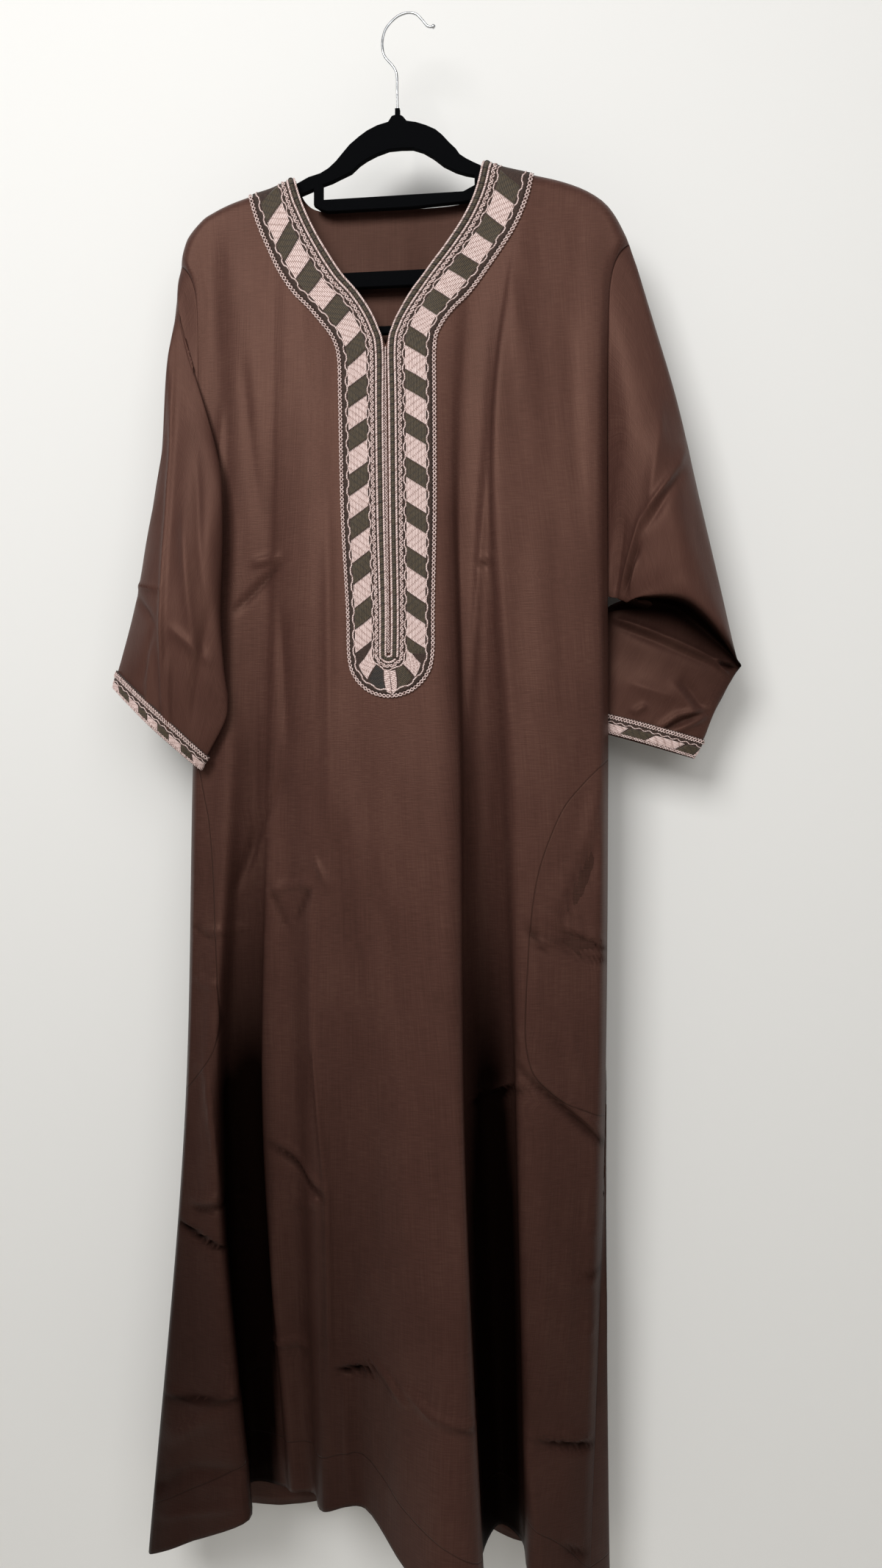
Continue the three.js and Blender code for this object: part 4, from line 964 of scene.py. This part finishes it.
def tube(P, N, radius, sides=6, flat=1.0, twist=2.4):
    """Round strand along points P: circles in the plane of the normal N and the way
    across, flattened along N. The ends are drawn in and capped. Its marks are the turn of
    two plies round the strand, one turn in each twist millimetres, and a second mark of zero."""
    T = np.gradient(P, axis=0)
    B = np.cross(T, N)
    B /= np.maximum(np.linalg.norm(B, axis=-1, keepdims=True), 1e-9)
    radius = np.broadcast_to(radius, len(P)).copy()
    a = 2 * np.pi * np.arange(sides) / sides - np.pi / 2
    ring = (np.cos(a)[None, :, None] * B[:, None] + flat * np.sin(a)[None, :, None] * N[:, None])
    body = P[:, None] + radius[:, None, None] * ring
    start = np.repeat(P[:1, None], sides, 1) + 0.02 * ring[:1]
    end = np.repeat(P[-1:, None], sides, 1) + 0.02 * ring[-1:]
    body = np.concatenate([start, body, end])
    quads = grid_quads(len(body), sides, True)
    k = np.arange(1, sides - 2, 2)
    low = np.stack([0 * k, k, k + 1, k + 2], -1)
    high = low[:, ::-1] + (len(body) - 1) * sides
    quads = np.concatenate([quads, low, high])
    step = np.linalg.norm(np.diff(P, axis=0), axis=-1)
    run = np.concatenate([[0, 0], np.cumsum(step), [step.sum()]])[:, None] + 0 * a[None]
    marks = np.stack([2 * (a[None] + np.pi / 2) / (2 * np.pi) + run / twist, 0 * run], -1)
    points = body.reshape(-1, 3)
    return points, outward(points, quads), marks.reshape(-1, 2)


class Bundle:
    """Strands and patches gathered into one mesh of one finish."""

    def __init__(self):
        self.points, self.quads, self.marks, self.count = [], [], [], 0

    def add(self, points, quads, marks):
        self.points.append(points)
        self.quads.append(quads + self.count)
        self.marks.append(marks)
        self.count += len(points)

    def make(self, name, finish, slot, replaces=()):
        marks = np.concatenate(self.marks)
        return make_piece(name, np.concatenate(self.points), np.concatenate(self.quads),
                          finish, None, {"thread": marks[:, 0], "along": marks[:, 1]},
                          replaces, turn=False)


def cord(bundle, place, unit, w, height, radius, s0, s1, step, flat, sway):
    """A laid cord: a tube along a line of the band, its width swayed by a function of the
    length run."""
    s, length = even_places(place, w, step, s0, s1)
    width = w + (sway(length) if sway else 0)
    P, N = lay(place, s, width, height, unit)
    bundle.add(*tube(P, N, radius, 6, flat))


def chain(bundle, place, unit, w, half, pitch, height, radius, s0, s1, lean=0.0):
    """Chain braid: two strands that swing to opposite sides by a sine of the length and
    cross once in each pitch, passing over and under in turn."""
    s, length = even_places(place, w, pitch / 6, s0, s1)
    swing = np.pi * length / pitch
    for way in (1, -1):
        over = way * 0.55 * radius * np.cos(swing)
        P, N = lay(place, s, w + way * half * np.sin(swing + lean * way), height + over, unit)
        bundle.add(*tube(P, N, radius, 6, 0.8))


PILLOW_END, PILLOW_SIDE = 0.09, 0.05    # shares over which a patch rounds down at its edges
STITCH_LONG = 8.0                       # a stitch of the floss


def patch(bundle, place, unit, corners, threads, height, base, bite, rows=9):
    """Satin-stitched patch: a pillow between four corners (inner start, inner end, outer
    start, outer end as s, w), ribbed across by its threads, whose ends step in and out by
    a triangle wave of size bite."""
    n = threads * 4 + 1
    p = np.linspace(0, 1, n)[None]
    q = np.linspace(0, 1, rows)[:, None]
    saw = np.abs(((p * threads) % 1) - 0.5) * 2
    (a0, b0), (a1, b1), (c0, d0), (c1, d1) = corners
    tooth = bite * saw * np.sign((a1 - a0) + ((c1 - c0) - (a1 - a0)) * p)
    start = a0 + (c0 - a0) * p + tooth
    end = a1 + (c1 - a1) * p - tooth * 0.4
    s = start + (end - start) * q
    w = (b0 + (d0 - b0) * p) + ((b1 + (d1 - b1) * p) - (b0 + (d0 - b0) * p)) * q
    fall = np.minimum(1, np.minimum(q, 1 - q) / PILLOW_END) ** 0.5
    edge = np.minimum(1, np.minimum(p, 1 - p) / PILLOW_SIDE) ** 0.5
    rib = 0.5 + 0.5 * np.abs(np.sin(np.pi * p * threads))
    h = base + height * fall * edge * rib
    top, _ = lay(place, s, w, h, unit)
    low, _ = lay(place, s, w, base, unit)
    points = both(top, low)
    run = np.linalg.norm(top[-1, n // 2] - top[0, n // 2])
    tiers = max(run / STITCH_LONG, 1.0)
    marks = np.stack([(p + 0 * q) * threads, (q + 0 * p) * tiers + 0.2], -1)
    bundle.add(points, outward(points, shell_quads(rows, n)), both(marks, marks))


# ---------------------------------------------------------------- neck band
NECK_UNIT = (0.01, -1)
BASE = LAY_GAP + BAND_WALL
PIPING_W, PIPING_HALF, PIPING_RISE = 4.6, 2.5, 2.1      # piping: middle, half width, height
# Height of the band's face by width: piping ridge, then flat ground.
RELIEF_W = [0.6, 1.4, 2.0, 2.4, 3.0, 3.8, 4.6, 5.4, 6.2, 6.8, 7.2, 8, 12, 16, 20, 24, 28, 32,
            36, 40, 44, 47]
RELIEF_H = [1, 1, 1, 1.7, 2.15, 2.4, 2.5, 2.4, 2.15, 1.7, 1, 1, 1, 1, 1, 1, 1, 1, 1, 1, 1, 1]


def neck_ground():
    """The band's ground: a strip from the slit to the outer braid with the piping's
    rounded ridge, its underside level with the seam allowance below."""
    s, _ = even_places(neck_place, 24, 2.3, 0.0, STATION_LINE[-1])
    s[1:4] = [0.02, 0.06, 0.12]
    s[-4:-1] = STATION_LINE[-1] - np.array([0.12, 0.06, 0.02])
    s = np.sort(s)
    w = np.array(RELIEF_W)[None]
    s = s[:, None]
    outer, _ = lay(neck_place, s, w, LAY_GAP + np.array(RELIEF_H)[None], NECK_UNIT)
    inner, _ = lay(neck_place, s, w, LAY_GAP, NECK_UNIT)
    uv = np.stack(np.broadcast_arrays(w / 1000, s * 0.04), -1)
    make_piece("neck_band_ground", both(outer, inner), shell_quads(*outer.shape[:2]), TWILL,
               both(uv, uv), None, ("neck_band",))


neck_ground()
END = STATION_LINE[-1]
FROM, TO = 0.03, END - 0.03     # trims start and stop just inside the band's ends

pink_trim, cuff_trim, olive_trim, dark_trim = Bundle(), Bundle(), Bundle(), Bundle()


def sway(length):
    """Swing of a wavy couched thread, one wave each 17 mm."""
    return 0.95 * np.tanh(2.6 * np.sin(2 * np.pi * length / 17))


# Trim, width out from the slit, height, radius, step of its points, flattening and sway of:
# the edge cords beside the slit and beside the piping, the olive floss wound over the piping's
# ridge between them, and the wavy couched threads either side of the blocks.
for trim, w, height, radius, step, flat, wave in (
    (pink_trim, 1.15, BASE + 0.6, 1.15, 2.0, 0.85, None),
    (pink_trim, 8.1, BASE + 0.5, 1.2, 2.0, 0.85, None),
    (olive_trim, PIPING_W, LAY_GAP + 1.9, PIPING_RISE, 2.0, 0.5, None),
    (pink_trim, 17.2, BASE + 0.4, 0.78, 1.2, 0.7, sway),
    (pink_trim, 42.2, BASE + 0.4, 0.78, 1.2, 0.7, sway),
):
    cord(trim, neck_place, NECK_UNIT, w, height, radius, FROM, TO, step, flat, wave)
# Inner chain, leaning, between its cords, and the outer open chain.
chain(pink_trim, neck_place, NECK_UNIT, w=12.8, half=1.6, pitch=4.0, height=BASE + 0.7,
      radius=0.72, s0=FROM, s1=TO, lean=0.45)
outer_chain = Bundle()
chain(outer_chain, neck_place, NECK_UNIT, w=49.4, half=1.65, pitch=4.3, height=LAY_GAP + 0.9,
      radius=0.66, s0=FROM, s1=TO)


def side_lengths(w, left):
    """Length run along one side of the band at width w, from the shoulder down, with the
    places s and depths that go with it."""
    s = np.linspace(0, ROUND_START, 3000) if left else np.linspace(END, ROUND_END, 3000)
    P = neck_place(s, 0 * s + w)
    run = lengths(P)
    return s, run, -P[:, 2]


BLOCK_PITCH = 47.4
BLOCK_IN, BLOCK_OUT = 18.8, 40.6
BLOCK_RISE = 13.5  # how much higher a block's inner end stands than its outer end


def side_blocks(left, start_depth):
    """Slanted blocks down one side: olive then pink in each pitch, phased so that an olive
    block's inner end starts at the given depth."""
    s, run, depth = side_lengths(29.0, left)
    phase = np.interp(start_depth, depth, run)
    total = run[-1]
    place_s = lambda length: float(np.interp(length, run, s))
    first = phase - BLOCK_PITCH * math.ceil(phase / BLOCK_PITCH)
    count = int((total - first) / BLOCK_PITCH) + 1
    way = 1 if left else -1
    for k in range(count):
        for bundle, off, long, threads, height, bite in (
            (olive_trim, 0.4, 20.6, 13, 0.8, 0.0), (pink_trim, 21.8, 24.8, 13, 1.15, 1.0),
        ):
            a = first + k * BLOCK_PITCH + off
            low = a + long
            if a + BLOCK_RISE < 2 or low > total + 6:
                continue
            a = max(a, 2.0)
            low = max(low, a + 1)
            outer_a, outer_low = a + BLOCK_RISE, low + BLOCK_RISE
            if off > 1 and low > total - 1:
                continue
            corners = [(place_s(a), BLOCK_IN), (place_s(low), BLOCK_IN),
                       (place_s(min(outer_a, total + 9)), BLOCK_OUT),
                       (place_s(min(outer_low, total + 9)), BLOCK_OUT)]
            tooth = bite * abs(place_s(a + 1.5) - place_s(a))
            patch(bundle, neck_place, NECK_UNIT, corners, threads, height, BASE, tooth * way)


side_blocks(True, 487.0)
side_blocks(False, 483.0)

# The round end: patches by angle from the left horizontal, inner and outer edge.
turn = lambda degrees: ROUND_START + (ROUND_END - ROUND_START) * degrees / 180
FAN = [
    (pink_trim, -8, 39, 15, 48, 36, 38, 1.1), (dark_trim, 42, 70, 51, 84, 37, 42, 0.8),
    (pink_trim, 73, 92, 86, 93, 43, 46, 1.1), (pink_trim, 93, 111, 94, 101, 46, 43, 1.1),
    (olive_trim, 114, 140, 103, 134, 42, 37, 0.8), (pink_trim, 143, 188, 137, 166, 38, 36, 1.1),
]
for bundle, in0, in1, out0, out1, w0, w1, height in FAN:
    patch(bundle, neck_place, NECK_UNIT,
          [(turn(in0), 18.6), (turn(in1), 18.6), (turn(out0), w0 + 2), (turn(out1), w1 + 1)],
          12, height, BASE, 0.02)


def piping_stitches():
    """Dark stitches over the olive piping, one each 8.2 mm: short arcs over the ridge."""
    s, _ = even_places(neck_place, PIPING_W, 8.2, 0.05, END - 0.05)
    a = np.linspace(0, np.pi, 9)
    for at in s:
        w = PIPING_W - PIPING_HALF * np.cos(a)
        h = LAY_GAP + 1.1 + PIPING_RISE * np.sin(a)
        P, N = lay(neck_place, at + 0 * w, w, h, NECK_UNIT)
        dark_trim.add(*tube(P, N, 0.5, 6, 0.8))


piping_stitches()


SLIT_TOP_X, SLIT_SHIFT, SLIT_TOP = -14.5, 8.0, 361


def slit_place(f, w):
    """Surface along the slit's middle: f from its top to its foot, w to the right."""
    return on_front(SLIT_TOP_X + SLIT_SHIFT * f + w, SLIT_TOP + (PLACKET_END - 1 - SLIT_TOP) * f)


# Chain braid that closes the placket, down the middle of the slit.
chain(pink_trim, slit_place, (0.002, 1), w=0.0, half=1.0, pitch=3.4, height=LAY_GAP + 1.5,
      radius=0.5, s0=0.0, s1=1.0)


# ---------------------------------------------------------------- cuffs
CUFF_UP, CUFF_DOWN = 9.0, 16.8          # the blocks' upper and lower ends, as w


def cuff_pieces(name, rings, right):
    """A cuff's ground strip, chains, wavy thread and blocks, all on the sleeve's end."""
    place = cuff_place(rings, right)
    s = np.arange(140)[None] / 140
    w = np.array([0.3, 1, 4, 8, 12, 16, 19, 19.8])[:, None]
    probe = np.array([0.1, 0.35, 0.6, 0.85])
    centre = place(probe, 0 * probe + 10).mean(axis=0)
    a = place(probe + 0.01, 0 * probe + 10) - place(probe - 0.01, 0 * probe + 10)
    b = place(probe, 0 * probe + 10.3) - place(probe, 0 * probe + 9.7)
    out = place(probe, 0 * probe + 10) - centre
    sign = float(np.sign(np.sum(np.cross(a, b) * out)))
    unit = (0.004, sign)
    base = LAY_GAP + CUFF_WALL
    outer, _ = lay(place, s, w, base, unit)
    inner, _ = lay(place, s, w, LAY_GAP, unit)
    uv = np.stack(np.broadcast_arrays(s * 0.3, w / 1000), -1)
    make_piece(name + "_ground", both(outer, inner), shell_quads(*outer.shape[:2], True), TWILL,
               both(uv, uv), None, (name,))
    chain(cuff_trim, place, unit, w=2.6, half=1.5, pitch=3.0, height=base + 0.5, radius=0.6,
          s0=0.0, s1=1.0)
    chain(cuff_trim, place, unit, w=18.2, half=1.0, pitch=3.0, height=base + 0.4, radius=0.55,
          s0=0.0, s1=1.0)
    wave = lambda length: 0.8 * np.sin(2 * np.pi * length / 10)
    cord(cuff_trim, place, unit, w=7.2, height=base + 0.3, radius=0.55, s0=0.0, s1=1.0,
         step=1.0, flat=0.7, sway=wave)
    places, length = even_places(place, 12.5, 45.0 if right else 31.0, 0.0, 1.0)
    late = 0.5 * (places[1] - places[0]) if right else 0.0
    for k in range(len(places) - 1):
        a, b = places[k] + late, places[k + 1] + late
        wide = b - a
        cut = a + wide * 0.55
        for trim, start, end, height, bite in ((cuff_trim, a, cut, 1.0, 0.035 * wide),
                                               (olive_trim, cut, b, 0.7, 0.0)):
            corners = [(start, CUFF_UP), (end - 0.03 * wide, CUFF_UP),
                       (start + 0.12 * wide, CUFF_DOWN), (end + 0.09 * wide, CUFF_DOWN)]
            patch(trim, place, unit, corners, 6, height, base, bite, 15)


cuff_pieces("cuff_band_left", SLEEVE_LEFT, False)
cuff_pieces("cuff_band_right", SLEEVE_RIGHT, True)

pink_trim.make("pink_embroidery", PINK, "braid_pink", ("braid_inner", "braid_middle"))
cuff_trim.make("cuff_embroidery", PINK, "braid_pink")
outer_chain.make("outer_chain_braid", PINK, "braid_pink", ("braid_outer",))
olive_trim.make("olive_embroidery", OLIVE, "band_ground")
dark_trim.make("dark_stitches", DARK, "band_ground")


# ---------------------------------------------------------------- hanger
BALL, BALL_BACK = 2.4, 3.2      # the ball's radius, and its middle's distance from the end


def hook_piece():
    """Hook wire: a circle carried along the hook's line, swollen to a ball at its end, whose
    radius falls by a root either side of the ball's middle."""
    line = np.array([(x, 0, z) for x, z in HOOK], float)
    run = lengths(line)
    at = np.linspace(0, run[-1], 160)
    P = np.stack([cubic(run, line[:, k], at) for k in range(3)], -1)
    ball = run[-1] - BALL_BACK
    bulb = np.sqrt(np.clip(BALL ** 2 - (at - ball) ** 2 * 0.55, 0.01, 9))
    radius = np.where(at > ball, bulb, WIRE)
    radius = np.maximum(radius, np.where(at > ball, 0.05, WIRE))
    N = np.repeat([[0.0, 1.0, 0.0]], len(P), 0)
    points, quads, _ = tube(P, N, radius, 20)
    make_piece("hook_wire", points, quads, CHROME, None, None,
               ("hanger_hook",), turn=False)


hook_piece()
nodes["hanger_body"].data.materials.clear()
nodes["hanger_body"].data.materials.append(FLOCK)
for name in ("pocket_bag_left", "pocket_bag_right"):
    pocket = nodes[name]
    layer = pocket.data.uv_layers.new(name="weave")
    co = np.empty(len(pocket.data.vertices) * 3)
    pocket.data.vertices.foreach_get("co", co)
    index = np.empty(len(pocket.data.loops), int)
    pocket.data.loops.foreach_get("vertex_index", index)
    layer.data.foreach_set("uv", co.reshape(-1, 3)[:, [0, 2]][index].ravel())
    pocket.data.materials.clear()
    pocket.data.materials.append(SATIN)

# ---------------------------------------------------------------- wall, floor, light, camera
def plain_sheet(name, corners, code):
    """Stage plane of one matt paint, clear when it is seen from behind."""
    mesh = bpy.data.meshes.new(name)
    mesh.from_pydata(corners, [], [(0, 1, 2, 3)])
    mat, t = start_finish(name + "_paint")
    paint = node(t, "ShaderNodeBsdfPrincipled", {"Base Color": colour(code), "Roughness": 0.9})
    clear = node(t, "ShaderNodeBsdfTransparent")
    side = node(t, "ShaderNodeNewGeometry", out="Backfacing")
    mixed = node(t, "ShaderNodeMixShader", {0: side, 1: paint, 2: clear})
    node(t, "ShaderNodeOutputMaterial", {"Surface": mixed})
    mesh.materials.append(mat)
    sheet = bpy.data.objects.new(name, mesh)
    bpy.context.scene.collection.objects.link(sheet)
    return sheet


# Half width, wall y, floor z, wall top z and the floor's front edge, in metres.
HALF, WALL_Y, FLOOR_Z, WALL_TOP, FLOOR_FRONT = 4, 0.075, -2.2, 3, -5
plain_sheet("wall", [(-HALF, WALL_Y, FLOOR_Z), (HALF, WALL_Y, FLOOR_Z),
                     (HALF, WALL_Y, WALL_TOP), (-HALF, WALL_Y, WALL_TOP)], "#e4e3e0")
plain_sheet("floor", [(-HALF, FLOOR_FRONT, FLOOR_Z), (HALF, FLOOR_FRONT, FLOOR_Z),
                      (HALF, WALL_Y, FLOOR_Z), (-HALF, WALL_Y, FLOOR_Z)], "#dcd8d0")


def lamp(name, place, aim, size, power, tint):
    """Area lamp at a place, turned to a point, both in metres."""
    data = bpy.data.lights.new(name, "AREA")
    data.size = size
    data.energy = power
    data.color = colour(tint)[:3]
    lamp_object = bpy.data.objects.new(name, data)
    lamp_object.location = place
    way = Vector(aim) - Vector(place)
    lamp_object.rotation_euler = way.to_track_quat("-Z", "Y").to_euler()
    bpy.context.scene.collection.objects.link(lamp_object)


LAMP_AIM = (0, 0, -0.6)
lamp("key", (-0.8, -2.2, 0.6), LAMP_AIM, size=1.2, power=52, tint="#ffffff")
lamp("fill", (0.9, -2.7, 0.4), LAMP_AIM, size=2.2, power=30, tint="#ffffff")

world = bpy.data.worlds.new("studio")
world.use_nodes = True
world.node_tree.nodes["Background"].inputs["Color"].default_value = colour("#f6f6f6")
world.node_tree.nodes["Background"].inputs["Strength"].default_value = 0.2
bpy.context.scene.world = world

# The camera fitted to the photo: its size and focal length in pixels.
PHOTO_WIDE, PHOTO_HIGH, FOCAL_PIXELS = 1200, 2133, 1540
cam_data = bpy.data.cameras.new("photo_camera")
cam_data.sensor_fit = "VERTICAL"
cam_data.sensor_height = 36
cam_data.sensor_width = cam_data.sensor_height * PHOTO_WIDE / PHOTO_HIGH
cam_data.lens = FOCAL_PIXELS * cam_data.sensor_height / PHOTO_HIGH
camera = bpy.data.objects.new("photo_camera", cam_data)
camera.location = (0.16944, -1.20436, -0.82439)
camera.rotation_euler = (math.radians(90), 0, math.radians(6))
bpy.context.scene.collection.objects.link(camera)
bpy.context.scene.camera = camera

bpy.context.scene.view_settings.view_transform = "Standard"
